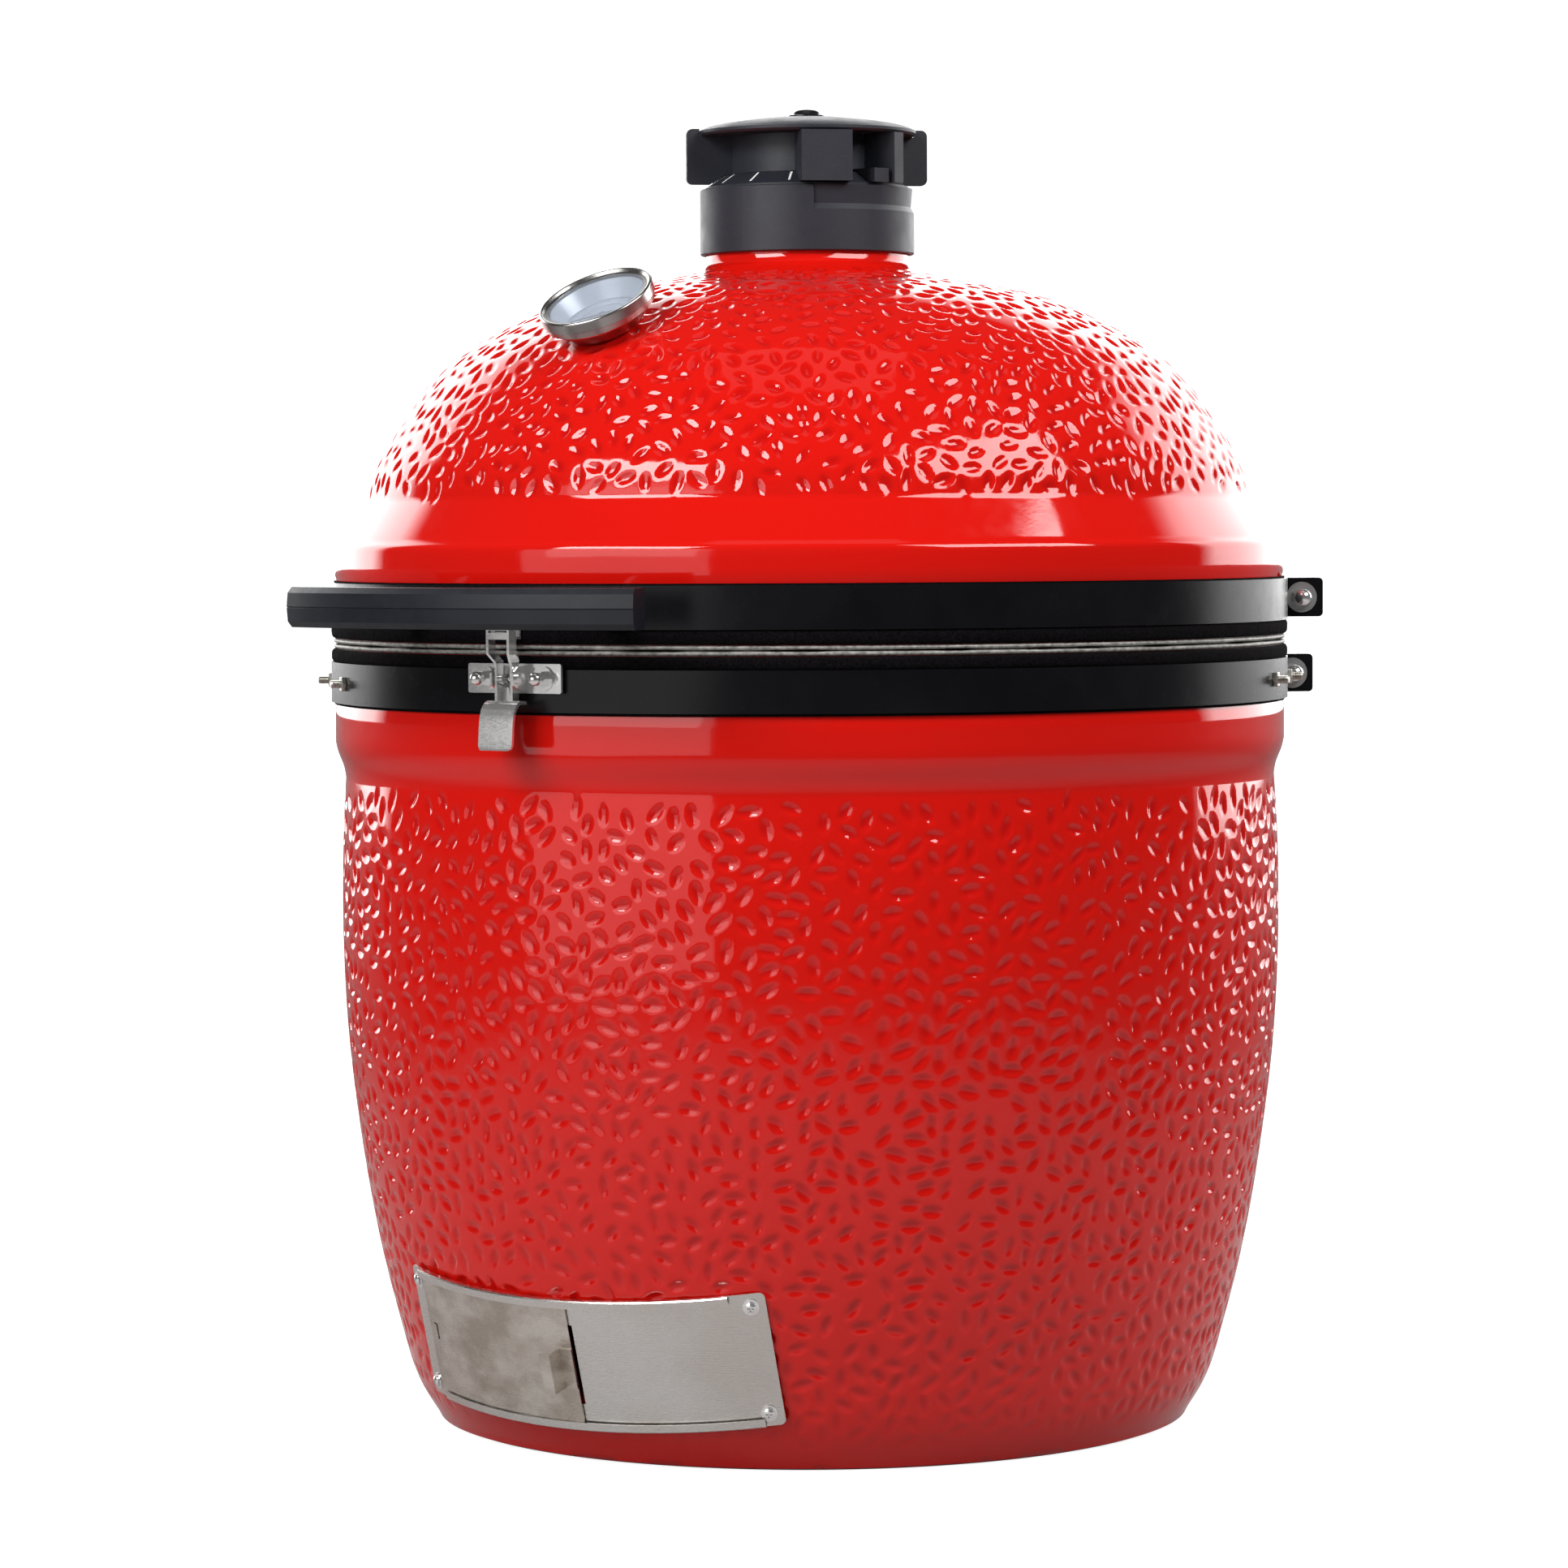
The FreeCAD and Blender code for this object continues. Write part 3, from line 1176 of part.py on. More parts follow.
pieces = {
    "base_shell": base_shell(),
    "lid_shell": lid_shell(),
    "lower_felt": felt(BASE_FELT_Z + 0.2, BASE_RIM_Z - 0.2),
    "upper_felt": felt(LID_RIM_Z + 0.2, LID_FELT_Z - 0.2),
    "lower_gasket": seal(BASE_RIM_Z + 0.05, PARTING_Z - SEAL_SPLIT),
    "upper_gasket": seal(LID_RIM_Z - 0.05, PARTING_Z + SEAL_SPLIT),
    "lower_band_front": clamp_band(LOWER_BAND_Z, -LOWER_CLAMP_ANGLE, LOWER_CLAMP_ANGLE),
    "lower_band_rear": clamp_band(LOWER_BAND_Z, LOWER_CLAMP_ANGLE, 360 - LOWER_CLAMP_ANGLE),
    "upper_band_front": clamp_band(UPPER_BAND_Z, -UPPER_CLAMP_ANGLE, UPPER_CLAMP_ANGLE),
    "upper_band_rear": clamp_band(UPPER_BAND_Z, UPPER_CLAMP_ANGLE, 360 - UPPER_CLAMP_ANGLE),
    "lower_clamp_bolts": clamp_bolts(LOWER_BAND_Z, LOWER_CLAMP_ANGLE),
    "upper_clamp_bolts": clamp_bolts(UPPER_BAND_Z, UPPER_CLAMP_ANGLE),
    "shelf_studs": shelf_studs(),
    "lid_handle": lid_handle(),
    "handle_posts": handle_posts(),
    "latch_plate": latch_plate(),
    "latch_pin": latch_pin(),
    "latch_nuts": latch_nuts(),
    "latch_lever": latch_lever(),
    "latch_spring": latch_spring(),
    "latch_catch": latch_catch(),
    "thermometer_cup": thermometer_cup(),
    "thermometer_bezel": thermometer_bezel(),
    "thermometer_lens": thermometer_lens(),
    "thermometer_dial": thermometer_dial(),
    "thermometer_stem": thermometer_stem(),
    "thermometer_nut": thermometer_nut(),
    "thermometer_needle": thermometer_needle(),
    "draft_frame": draft_frame(),
    "draft_door": draft_door(),
    "draft_screws": draft_screws(),
    "hinge_lower_bracket": hinge_lower_bracket(),
    "hinge_upper_bracket": hinge_upper_bracket(),
    "hinge_pin": hinge_pin(),
    "hinge_springs": hinge_springs(),
    "hinge_lower_bolts": hinge_bolts(LOWER_BAND_Z),
    "hinge_upper_bolts": hinge_bolts(UPPER_BAND_Z),
    "firebox": firebox(),
    "fire_ring": fire_ring(),
    "charcoal_grate": charcoal_grate(),
    "grate_rack": grate_rack(),
    "deflector_left": deflector(-1),
    "deflector_right": deflector(1),
    "cooking_grate_left": cooking_grate(-1),
    "cooking_grate_right": cooking_grate(1),
    "vent_collar": vent_collar(),
    "vent_set_screws": vent_set_screws(),
    "vent_hinge_pin": vent_hinge_pin(),
    "vent_drum": vent_drum(),
    "vent_dial": vent_dial(),
    "vent_cap": vent_cap(),
    "vent_spindle": vent_spindle(),
    "vent_button": vent_button(),
}

os.makedirs("parts", exist_ok=True)
for name, shape in pieces.items():
    shape.exportStep("parts/" + name + ".step")
    state = "valid" if shape.isValid() else "NOT VALID"
    print(name, state, len(shape.Solids), round(shape.Volume / 1000, 1))
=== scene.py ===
import json
from math import cos, pi, radians, sin

import bmesh
import bpy
import numpy as np
from mathutils import Euler, Matrix, Vector


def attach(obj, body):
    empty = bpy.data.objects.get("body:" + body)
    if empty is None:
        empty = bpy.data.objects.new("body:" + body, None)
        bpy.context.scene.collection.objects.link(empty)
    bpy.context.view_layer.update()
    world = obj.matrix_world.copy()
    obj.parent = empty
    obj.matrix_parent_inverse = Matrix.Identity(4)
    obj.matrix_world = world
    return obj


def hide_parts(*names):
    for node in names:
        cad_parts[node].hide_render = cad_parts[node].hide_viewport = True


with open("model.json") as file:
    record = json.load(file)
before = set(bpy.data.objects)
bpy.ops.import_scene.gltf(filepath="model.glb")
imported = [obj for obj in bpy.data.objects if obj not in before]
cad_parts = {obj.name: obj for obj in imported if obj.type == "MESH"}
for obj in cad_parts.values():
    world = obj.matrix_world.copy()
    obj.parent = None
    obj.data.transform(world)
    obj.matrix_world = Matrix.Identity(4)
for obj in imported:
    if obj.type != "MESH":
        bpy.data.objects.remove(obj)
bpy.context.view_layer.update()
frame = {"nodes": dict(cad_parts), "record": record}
nodes = frame["nodes"]
bodies = frame["record"]["behaviour"]["bodies"]
slot_of = {part["node"]: part["material_slot"] for part in frame["record"]["subparts"]}
MM = 0.001

# Angles about the grill's axis are counted in degrees from the front (-Y), positive towards +X.
# Outer walls of the two shells as (radius, height) in millimetres.
BASE_WALL = [
    (275, 6), (286.5, 25), (298.5, 61), (308, 97), (316, 133), (325.5, 187),
    (334, 252), (338.5, 310), (340, 372), (338.5, 436), (336.8, 464),
]
BASE_FLARE = [(336.8, 464), (338.2, 472), (342.4, 483), (344, 490)]
LID_RING_EDGE = [(344, 627), (343.1, 630.8), (340.6, 633.6)]
LID_DOME = [
    (321.2, 664), (318, 679), (307, 702), (284, 737), (262, 761), (228, 784),
    (177, 807), (127, 819), (100, 824), (83, 828.5), (75.5, 832.5), (73.5, 838),
]


# ------------------------------------------------------------------------------------------------
# Materials
# ------------------------------------------------------------------------------------------------

class Finish:
    """A Principled material whose colour, roughness and bump come from noise in object space."""

    def __init__(self, name, colour, roughness, metallic=0.0, **sockets):
        self.material = bpy.data.materials.new(name)
        self.material.use_nodes = True
        self.tree = self.material.node_tree
        self.shader = self.tree.nodes["Principled BSDF"]
        self.shader.inputs["Base Color"].default_value = (*colour, 1)
        self.shader.inputs["Roughness"].default_value = roughness
        self.shader.inputs["Metallic"].default_value = metallic
        for socket, value in sockets.items():
            self.shader.inputs[socket.replace("_", " ")].default_value = value
        self.place = self.tree.nodes.new("ShaderNodeTexCoord").outputs["Object"]
        self.bump = None

    def node(self, kind, **settings):
        """A new node with these settings."""
        made = self.tree.nodes.new(kind)
        for key, value in settings.items():
            setattr(made, key, value)
        return made

    def link(self, a, b):
        """Joins an output to an input."""
        self.tree.links.new(a, b)

    def noise(self, scale, detail=3.0, stretch=(1, 1, 1), rough=0.5):
        """Noise in the object's own space."""
        mapping = self.node("ShaderNodeMapping")
        mapping.inputs["Scale"].default_value = stretch
        self.link(self.place, mapping.inputs["Vector"])
        noise = self.node("ShaderNodeTexNoise")
        noise.inputs["Scale"].default_value = scale
        noise.inputs["Detail"].default_value = detail
        noise.inputs["Roughness"].default_value = rough
        self.link(mapping.outputs["Vector"], noise.inputs["Vector"])
        return noise.outputs["Fac"]

    def ramp(self, value, low, high, at=(0.35, 0.65)):
        """The value spread between two numbers."""
        spread = self.node("ShaderNodeMapRange")
        self.link(value, spread.inputs["Value"])
        spread.inputs["From Min"].default_value = at[0]
        spread.inputs["From Max"].default_value = at[1]
        spread.inputs["To Min"].default_value = low
        spread.inputs["To Max"].default_value = high
        return spread.outputs["Result"]

    def colours(self, value, first, second, at=(0.35, 0.65)):
        """Mixes two colours by a value into the base colour."""
        mix = self.node("ShaderNodeMix", data_type="RGBA")
        self.link(self.ramp(value, 0.0, 1.0, at), mix.inputs["Factor"])
        mix.inputs["A"].default_value = (*first, 1)
        mix.inputs["B"].default_value = (*second, 1)
        colour = mix.outputs["Result"]
        self.link(colour, self.shader.inputs["Base Color"])
        return colour

    def roughness(self, value, low, high, at=(0.35, 0.65)):
        """Spreads a value between two roughnesses."""
        self.link(self.ramp(value, low, high, at), self.shader.inputs["Roughness"])

    def relief(self, value, height, strength=1.0):
        """Adds a bump of this height in metres."""
        bump = self.node("ShaderNodeBump")
        bump.inputs["Strength"].default_value = strength
        bump.inputs["Distance"].default_value = height
        self.link(value, bump.inputs["Height"])
        if self.bump is not None:
            self.link(self.bump, bump.inputs["Normal"])
        self.bump = bump.outputs["Normal"]
        self.link(self.bump, self.shader.inputs["Normal"])


GLAZE_RED = (0.56, 0.006, 0.003)
# Darker red for the dimples: painted shade, mixed in by the depth of each dimple.
DIMPLE_SHADE_RED = (0.47, 0.004, 0.003)


def red_glaze():
    """Red gloss glaze, with a darker red painted into the dimples as shade."""
    f = Finish("red_glaze", GLAZE_RED, 0.06)
    depth = f.node("ShaderNodeAttribute", attribute_name="dimple")
    # The deeper the dimple, the more painted shade in its colour.
    f.colours(depth.outputs["Fac"], GLAZE_RED, DIMPLE_SHADE_RED, (0.0, 1.5))
    f.roughness(f.noise(90), 0.05, 0.09)
    f.relief(f.noise(420, 2), 0.00001)
    return f.material


def raw_ceramic():
    """Bare fired clay."""
    f = Finish("raw_ceramic", (0.55, 0.49, 0.42), 0.85)
    f.colours(f.noise(40, 6), (0.50, 0.44, 0.37), (0.62, 0.56, 0.48))
    f.relief(f.noise(900, 6), 0.0003)
    return f.material


def black_band():
    """Black satin paint on the clamp bands."""
    f = Finish("black_band", (0.004, 0.004, 0.005), 0.25, Specular_IOR_Level=0.22)
    f.colours(f.noise(14, 4), (0.003, 0.003, 0.004), (0.005, 0.005, 0.006))
    f.roughness(f.noise(60, 5), 0.24, 0.28)
    f.relief(f.noise(1800, 2), 0.000008)
    return f.material


def felt_black():
    """Black felt without gloss."""
    f = Finish("felt", (0.002, 0.002, 0.002), 1.0, Specular_IOR_Level=0.05)
    f.colours(f.noise(700, 4), (0.0015, 0.0013, 0.0015), (0.006, 0.005, 0.006))
    f.relief(f.noise(1400, 5), 0.0006)
    return f.material


def mesh_seal():
    """Grey woven wire and fibre."""
    f = Finish("mesh_seal", (0.30, 0.29, 0.27), 0.5, 0.3)
    f.colours(f.noise(260, 5), (0.15, 0.145, 0.135), (0.36, 0.345, 0.32))
    f.relief(f.noise(2500, 3), 0.0001)
    return f.material


def polished_steel():
    """Mirror-polished steel."""
    f = Finish("polished_steel", (0.90, 0.89, 0.88), 0.12, 0.86)
    f.colours(f.noise(60, 3), (0.88, 0.87, 0.86), (0.93, 0.92, 0.91))
    f.roughness(f.noise(350, 6, (1, 1, 4)), 0.11, 0.17)
    return f.material


def brushed_steel():
    """Brushed steel."""
    f = Finish("brushed_steel", (0.48, 0.465, 0.45), 0.24, 1.0)
    f.colours(f.noise(9, 3), (0.46, 0.445, 0.43), (0.50, 0.485, 0.47))
    f.roughness(f.noise(700, 4), 0.21, 0.27)
    return f.material


def sheet_steel():
    """Brushed stainless sheet with a faint straw tint."""
    f = Finish("sheet_steel", (0.56, 0.535, 0.50), 0.26, 1.0)
    lines = f.noise(26, 6, (2, 2, 110), 0.65)
    f.colours(f.noise(12, 5), (0.72, 0.68, 0.64), (0.78, 0.76, 0.73), (0.4, 0.6))
    f.roughness(lines, 0.2, 0.32)
    f.relief(lines, 0.00001)
    return f.material


def heat_tinted_steel():
    """Brushed stainless sheet with brownish heat smudges."""
    f = Finish("heat_tinted_steel", (0.55, 0.50, 0.43), 0.3, 1.0)
    lines = f.noise(26, 6, (2, 2, 110), 0.65)
    f.colours(f.noise(24, 7, (1, 1, 1.4), 0.62), (0.52, 0.46, 0.40), (0.76, 0.71, 0.65), (0.40, 0.60))
    f.roughness(lines, 0.22, 0.4)
    f.relief(lines, 0.00001)
    return f.material


def zinc_steel():
    """Zinc-plated steel."""
    f = Finish("zinc_steel", (0.55, 0.53, 0.48), 0.3, 1.0)
    f.colours(f.noise(80, 4), (0.52, 0.50, 0.45), (0.58, 0.56, 0.51))
    f.roughness(f.noise(500, 4), 0.25, 0.34)
    return f.material


def handle_plastic():
    """Dark moulded plastic."""
    f = Finish("handle_plastic", (0.008, 0.009, 0.014), 0.36, Specular_IOR_Level=0.32)
    f.colours(f.noise(30, 5), (0.007, 0.008, 0.012), (0.010, 0.011, 0.016))
    f.roughness(f.noise(140, 5), 0.36, 0.44)
    f.relief(f.noise(2600, 2), 0.00002)
    return f.material


def cast_vent():
    """Dark powder-coated casting."""
    f = Finish("cast_vent", (0.016, 0.018, 0.024), 0.5, Specular_IOR_Level=0.4)
    grain = f.noise(1700, 3)
    f.colours(grain, (0.012, 0.013, 0.019), (0.020, 0.022, 0.030))
    f.roughness(f.noise(60, 4), 0.46, 0.54)
    f.relief(grain, 0.0001)
    return f.material


def gloss_button():
    """Black gloss button."""
    f = Finish("gloss_button", (0.008, 0.008, 0.009), 0.06, Coat_Weight=0.5)
    f.roughness(f.noise(200, 4), 0.04, 0.1)
    return f.material


def cast_iron():
    """Dark cast iron."""
    f = Finish("cast_iron", (0.035, 0.034, 0.033), 0.7, 0.4)
    f.colours(f.noise(60, 6), (0.025, 0.024, 0.023), (0.055, 0.05, 0.046))
    f.relief(f.noise(700, 6), 0.0004)
    return f.material


def spring_steel():
    """Dull spring wire."""
    f = Finish("spring_steel", (0.32, 0.31, 0.30), 0.34, 1.0)
    f.roughness(f.noise(300, 4), 0.25, 0.42)
    return f.material


def gauge_glass():
    """Thin clear glass."""
    f = Finish("gauge_glass", (0.80, 0.88, 1.0), 0.02, Alpha=0.16, IOR=1.6)
    f.roughness(f.noise(80, 3), 0.01, 0.03)
    return f.material


def gauge_face():
    """Pale blue-grey dial plate."""
    f = Finish("gauge_face", (0.30, 0.33, 0.39), 0.3, 0.3)
    f.colours(f.noise(60, 4), (0.27, 0.30, 0.36), (0.33, 0.36, 0.42))
    return f.material


def gauge_needle():
    """Dark painted needle."""
    f = Finish("gauge_needle", (0.07, 0.07, 0.08), 0.4)
    f.roughness(f.noise(300, 3), 0.3, 0.45)
    return f.material


def printed_black():
    """Black print."""
    f = Finish("printed_black", (0.05, 0.05, 0.06), 0.5)
    f.roughness(f.noise(400, 3), 0.4, 0.6)
    return f.material


def printed_white():
    """White print."""
    f = Finish("printed_white", (0.92, 0.92, 0.91), 0.5)
    f.roughness(f.noise(400, 3), 0.4, 0.6)
    return f.material


finishes = {
    "red_glaze": red_glaze(), "raw_ceramic": raw_ceramic(), "black_band": black_band(),
    "felt": felt_black(), "mesh_seal": mesh_seal(), "polished_steel": polished_steel(),
    "brushed_steel": brushed_steel(), "zinc_steel": zinc_steel(),
    "handle_plastic": handle_plastic(), "cast_vent": cast_vent(), "gloss_button": gloss_button(),
    "cast_iron": cast_iron(), "spring_steel": spring_steel(), "gauge_glass": gauge_glass(),
    "gauge_face": gauge_face(), "gauge_needle": gauge_needle(),
}
tinted = heat_tinted_steel()
sheet = sheet_steel()
black_print = printed_black()
white_print = printed_white()

for name, node in nodes.items():
    node.data.materials.clear()
    own = {"draft_door": tinted, "draft_frame": sheet}.get(name, finishes[slot_of[name]])
    node.data.materials.append(own)


# ------------------------------------------------------------------------------------------------
# Turned surfaces with relief
# ------------------------------------------------------------------------------------------------

def spline(points, step):
    """Points at about this step along a smooth curve through the given points."""
    p = np.array(points, float)
    t = np.concatenate([[0], np.cumsum(np.hypot(*np.diff(p, axis=0).T))])
    n = len(p)
    a = np.zeros((n, n))
    b = np.zeros((n, 2))
    h = np.diff(t)
    a[0, 0:2] = 2, 1
    b[0] = 3 * (p[1] - p[0]) / h[0]
    a[-1, -2:] = 1, 2
    b[-1] = 3 * (p[-1] - p[-2]) / h[-1]
    for i in range(1, n - 1):
        a[i, i - 1:i + 2] = 1 / h[i - 1], 2 / h[i - 1] + 2 / h[i], 1 / h[i]
        b[i] = 3 * (p[i] - p[i - 1]) / h[i - 1] ** 2 + 3 * (p[i + 1] - p[i]) / h[i] ** 2
    m = np.linalg.solve(a, b)
    s = np.linspace(0, t[-1], int(round(t[-1] / step)) + 1)
    k = np.clip(np.searchsorted(t, s, "right") - 1, 0, n - 2)
    u = ((s - t[k]) / h[k])[:, None]
    hk = h[k][:, None]
    return (
        (2 * u ** 3 - 3 * u ** 2 + 1) * p[k] + (u ** 3 - 2 * u ** 2 + u) * hk * m[k]
        + (-2 * u ** 3 + 3 * u ** 2) * p[k + 1] + (u ** 3 - u ** 2) * hk * m[k + 1]
    )


def straight(points, step):
    """Points at about this step along straight runs, corners kept."""
    out = []
    for a, b in zip(points, points[1:]):
        length = np.hypot(b[0] - a[0], b[1] - a[1])
        count = max(1, int(round(length / step)))
        out += [tuple(np.array(a) + (np.array(b) - np.array(a)) * i / count) for i in range(count)]
    return np.array(out + [points[-1]], float)


class Turned:
    """Rows of points round the axis, joined into one closed surface."""

    def __init__(self):
        self.points = []
        self.faces = []
        self.depths = []
        self.last = None

    def row(self, radius, height, count, push=None, depth=None):
        """One ring. A count may equal, halve or double the ring before it; radius 0 is a pole."""
        start = len(self.points)
        if np.max(radius) <= 0:
            count = 1
        theta = np.arange(count) * 2 * pi / count
        r = np.zeros(count) + radius
        z = np.zeros(count) + height
        if push is not None:
            r = r + push[0]
            z = z + push[1]
        ring = np.stack([r * np.sin(theta), -r * np.cos(theta), z], 1)
        self.points.extend((ring * MM).tolist())
        self.depths.extend((np.zeros(count) if depth is None else depth).tolist())
        if self.last is not None:
            self.join(self.last, (start, count))
        self.last = (start, count)

    def join(self, below, above):
        """Faces between two rings, each given by its first point and its count."""
        a, n = below
        b, m = above
        if n == m:
            for i in range(n):
                j = (i + 1) % n
                self.faces.append((a + i, a + j, b + j, b + i))
        elif n == 1:
            self.faces += [(a, b + (i + 1) % m, b + i) for i in range(m)]
        elif m == 1:
            self.faces += [(a + i, a + (i + 1) % n, b) for i in range(n)]
        elif n == 2 * m:
            for i in range(m):
                j = (i + 1) % m
                left, mid, right = a + 2 * i, a + 2 * i + 1, a + (2 * i + 2) % n
                self.faces += [(left, mid, b + i), (mid, b + j, b + i), (mid, right, b + j)]
        else:
            for i in range(n):
                j = (i + 1) % n
                left, mid, right = b + 2 * i, b + 2 * i + 1, b + (2 * i + 2) % m
                self.faces += [(a + i, mid, left), (a + i, a + j, mid), (a + j, right, mid)]

    def close(self):
        """Joins the last ring to the first."""
        count = self.last[1]
        self.join(self.last, (0, count))

    def make(self, name, material):
        """The finished object, with each point's dimple depth stored on it."""
        mesh = bpy.data.meshes.new(name)
        mesh.from_pydata(self.points, [], self.faces)
        store = mesh.attributes.new("dimple", "FLOAT", "POINT")
        store.data.foreach_set("value", np.array(self.depths, np.float32))
        mesh.shade_smooth()
        mesh.set_sharp_from_angle(angle=radians(42))
        mesh.materials.append(material)
        made = bpy.data.objects.new(name, mesh)
        bpy.context.scene.collection.objects.link(made)
        return made


def outline_frame(rows):
    """Arc length and outward unit normals along an outline that runs upwards on the outside."""
    step = np.gradient(rows, axis=0)
    length = np.hypot(step[:, 0], step[:, 1])
    normal = np.stack([step[:, 1], -step[:, 0]], 1) / length[:, None]
    run = np.concatenate([[0], np.cumsum(np.hypot(*np.diff(rows, axis=0).T))])
    return run, normal


# --- Dimples ------------------------------------------------------------------------------------
SCATTER_TRIES = 14


def scatter(rows, run, low, high, pitch, rng):
    """Dimple centres over the wall as (angle, run), no two closer than the pitch."""
    radius = rows[:, 0]
    cells = {}
    centres = []
    area = (2 * pi * radius[1:] * np.diff(run)).sum()
    for _ in range(int(area / pitch ** 2 * SCATTER_TRIES)):
        s = low + (high - low) * rng.random()
        r = np.interp(s, run, radius)
        if rng.random() * radius.max() > r:
            continue
        angle = 2 * pi * rng.random()
        key = (int(s // pitch), int(angle * radius.max() // pitch))
        wide = int(radius.max() / max(r, 20)) + 1
        columns = int(2 * pi * radius.max() // pitch) + 1
        clear = True
        for i in (-1, 0, 1):
            for j in range(-wide, wide + 1):
                for other in cells.get((key[0] + i, (key[1] + j) % columns), ()):
                    turn = (other[0] - angle + pi) % (2 * pi) - pi
                    if (turn * r) ** 2 + (other[1] - s) ** 2 < pitch ** 2:
                        clear = False
        if clear:
            cells.setdefault(key, []).append((angle, s))
            centres.append((angle, s))
    return np.array(centres)


def lay_out_dimples(rows, run, low, high, pitch, seed):
    """Each dimple's angle, run, half sizes and lie; it turns its side to its close neighbours."""
    rng = np.random.default_rng(seed)
    centres = scatter(rows, run, low, high, pitch, rng)
    r = np.interp(centres[:, 1], run, rows[:, 0])
    lies = np.zeros(len(centres))
    for i, (angle, s) in enumerate(centres):
        du = ((centres[:, 0] - angle + pi) % (2 * pi) - pi) * r[i]
        dv = centres[:, 1] - s
        gap = np.hypot(du, dv)
        near = (gap > 0) & (gap < 2.2 * pitch)
        to = np.arctan2(dv[near], du[near])
        weight = gap[near] ** -4.0
        trial = pi * rng.random(5)
        crowd = (weight[None] * np.cos(trial[:, None] - to[None]) ** 4).sum(1)
        lies[i] = trial[np.argmin(crowd)]
    long_half = rng.uniform(0.60, 0.74, len(centres)) * pitch
    short_half = rng.uniform(0.31, 0.38, len(centres)) * pitch
    deep = rng.uniform(1.4, 1.9, len(centres))
    return centres[:, 0], centres[:, 1], long_half, short_half, lies, deep


def dimple_depths(dimples, s, r, count):
    """Depth at each point of the ring at this run and radius."""
    angle, run, long_half, short_half, lie, deep = dimples
    depth = np.zeros(count)
    near = np.abs(run - s) < long_half
    if not near.any():
        return depth
    angle, run, long_half, short_half, lie, deep = (v[near] for v in dimples)
    pitch = 2 * pi / count
    reach = int(np.ceil(long_half.max() / (r * pitch))) + 1
    offsets = np.arange(-reach, reach + 1)
    first = np.round(angle / pitch).astype(int)
    column = first[:, None] + offsets[None]
    u = (column * pitch - angle[:, None]) * r
    v = (s - run)[:, None] + 0 * u
    c, n = np.cos(lie)[:, None], np.sin(lie)[:, None]
    along = (u * c + v * n) / long_half[:, None]
    across = (-u * n + v * c) / short_half[:, None]
    q = along ** 2 + across ** 2
    d = deep[:, None] * np.where(q < 1, np.abs(1 - q) ** 1.15, 0)
    np.maximum.at(depth, column % count, d)
    return depth


def waviness(theta, height):
    """The slow unevenness of a cast and glazed wall, 0 at its highest."""
    wave = (
        np.sin(7 * theta + height / 23) + np.sin(11 * theta - height / 31 + 1)
        + 0.8 * np.sin(19 * theta + height / 17 + 2) + 0.5 * np.sin(31 * theta - height / 13)
    )
    return 0.045 * (wave - 3.3)


def glazed_rows(turned, rows, run, normal, dimples, count_at, fade):
    """Rings along an outline, pushed in by waviness and dimples."""
    for (r, z), s, n in zip(rows, run, normal):
        count = count_at(r)
        depth = dimple_depths(dimples, s, r, count) * fade(z)
        theta = np.arange(count) * 2 * pi / count
        lower = waviness(theta, z) - depth
        turned.row(r, z, count, (lower * n[0], lower * n[1]), depth)


# Mesh step in millimetres, points round the axis, and the least distance between dimples.
GRID = 1.8
AROUND = 1280
BASE_PITCH = 12.8
LID_PITCH = 12.2
BASE_SEED = 11
LID_SEED = 23


def glazed_base():
    """The bowl as one closed surface, dimpled on its outer wall."""
    wall = spline(BASE_WALL, GRID)
    flare = spline(BASE_FLARE, 3.0)
    ring = straight([(344, 490), (344, 513)], 6.0)
    rows = np.concatenate([wall, flare[1:], ring[1:]])
    run, normal = outline_frame(rows)
    low = np.interp(20, wall[:, 1], run[:len(wall)])
    high = run[len(wall) - 1] - 8.0
    dimples = lay_out_dimples(rows, run, low, high, BASE_PITCH, BASE_SEED)
    turned = Turned()
    turned.row(0, 0, 1)
    turned.row(120, 0, AROUND // 8)
    turned.row(200, 0, AROUND // 4)
    turned.row(262, 0, AROUND // 2)
    turned.row(268, 0, AROUND)
    turned.row(272.5, 1.6, AROUND)
    glazed_rows(
        turned, rows, run, normal, dimples, lambda r: AROUND,
        lambda z: np.clip((z - 12) / 55, 0, 1) ** 0.7,
    )
    turned.row(342.6, 517, AROUND // 2)
    turned.row(342.6, 557.4, AROUND // 2)
    turned.row(330, 557.4, AROUND // 4)
    turned.row(316, 557.4, AROUND // 8)
    turned.row(316, 470, AROUND // 8)
    inner = [(316, 470), (312, 372), (306, 252), (288.5, 133), (271, 61), (246, 34)]
    for r, z in spline(inner, 12.0)[1:]:
        turned.row(r, z, AROUND // 8)
    turned.row(238, 30, AROUND // 8)
    turned.row(0, 30, 1)
    return turned.make("glazed_base", finishes["red_glaze"])


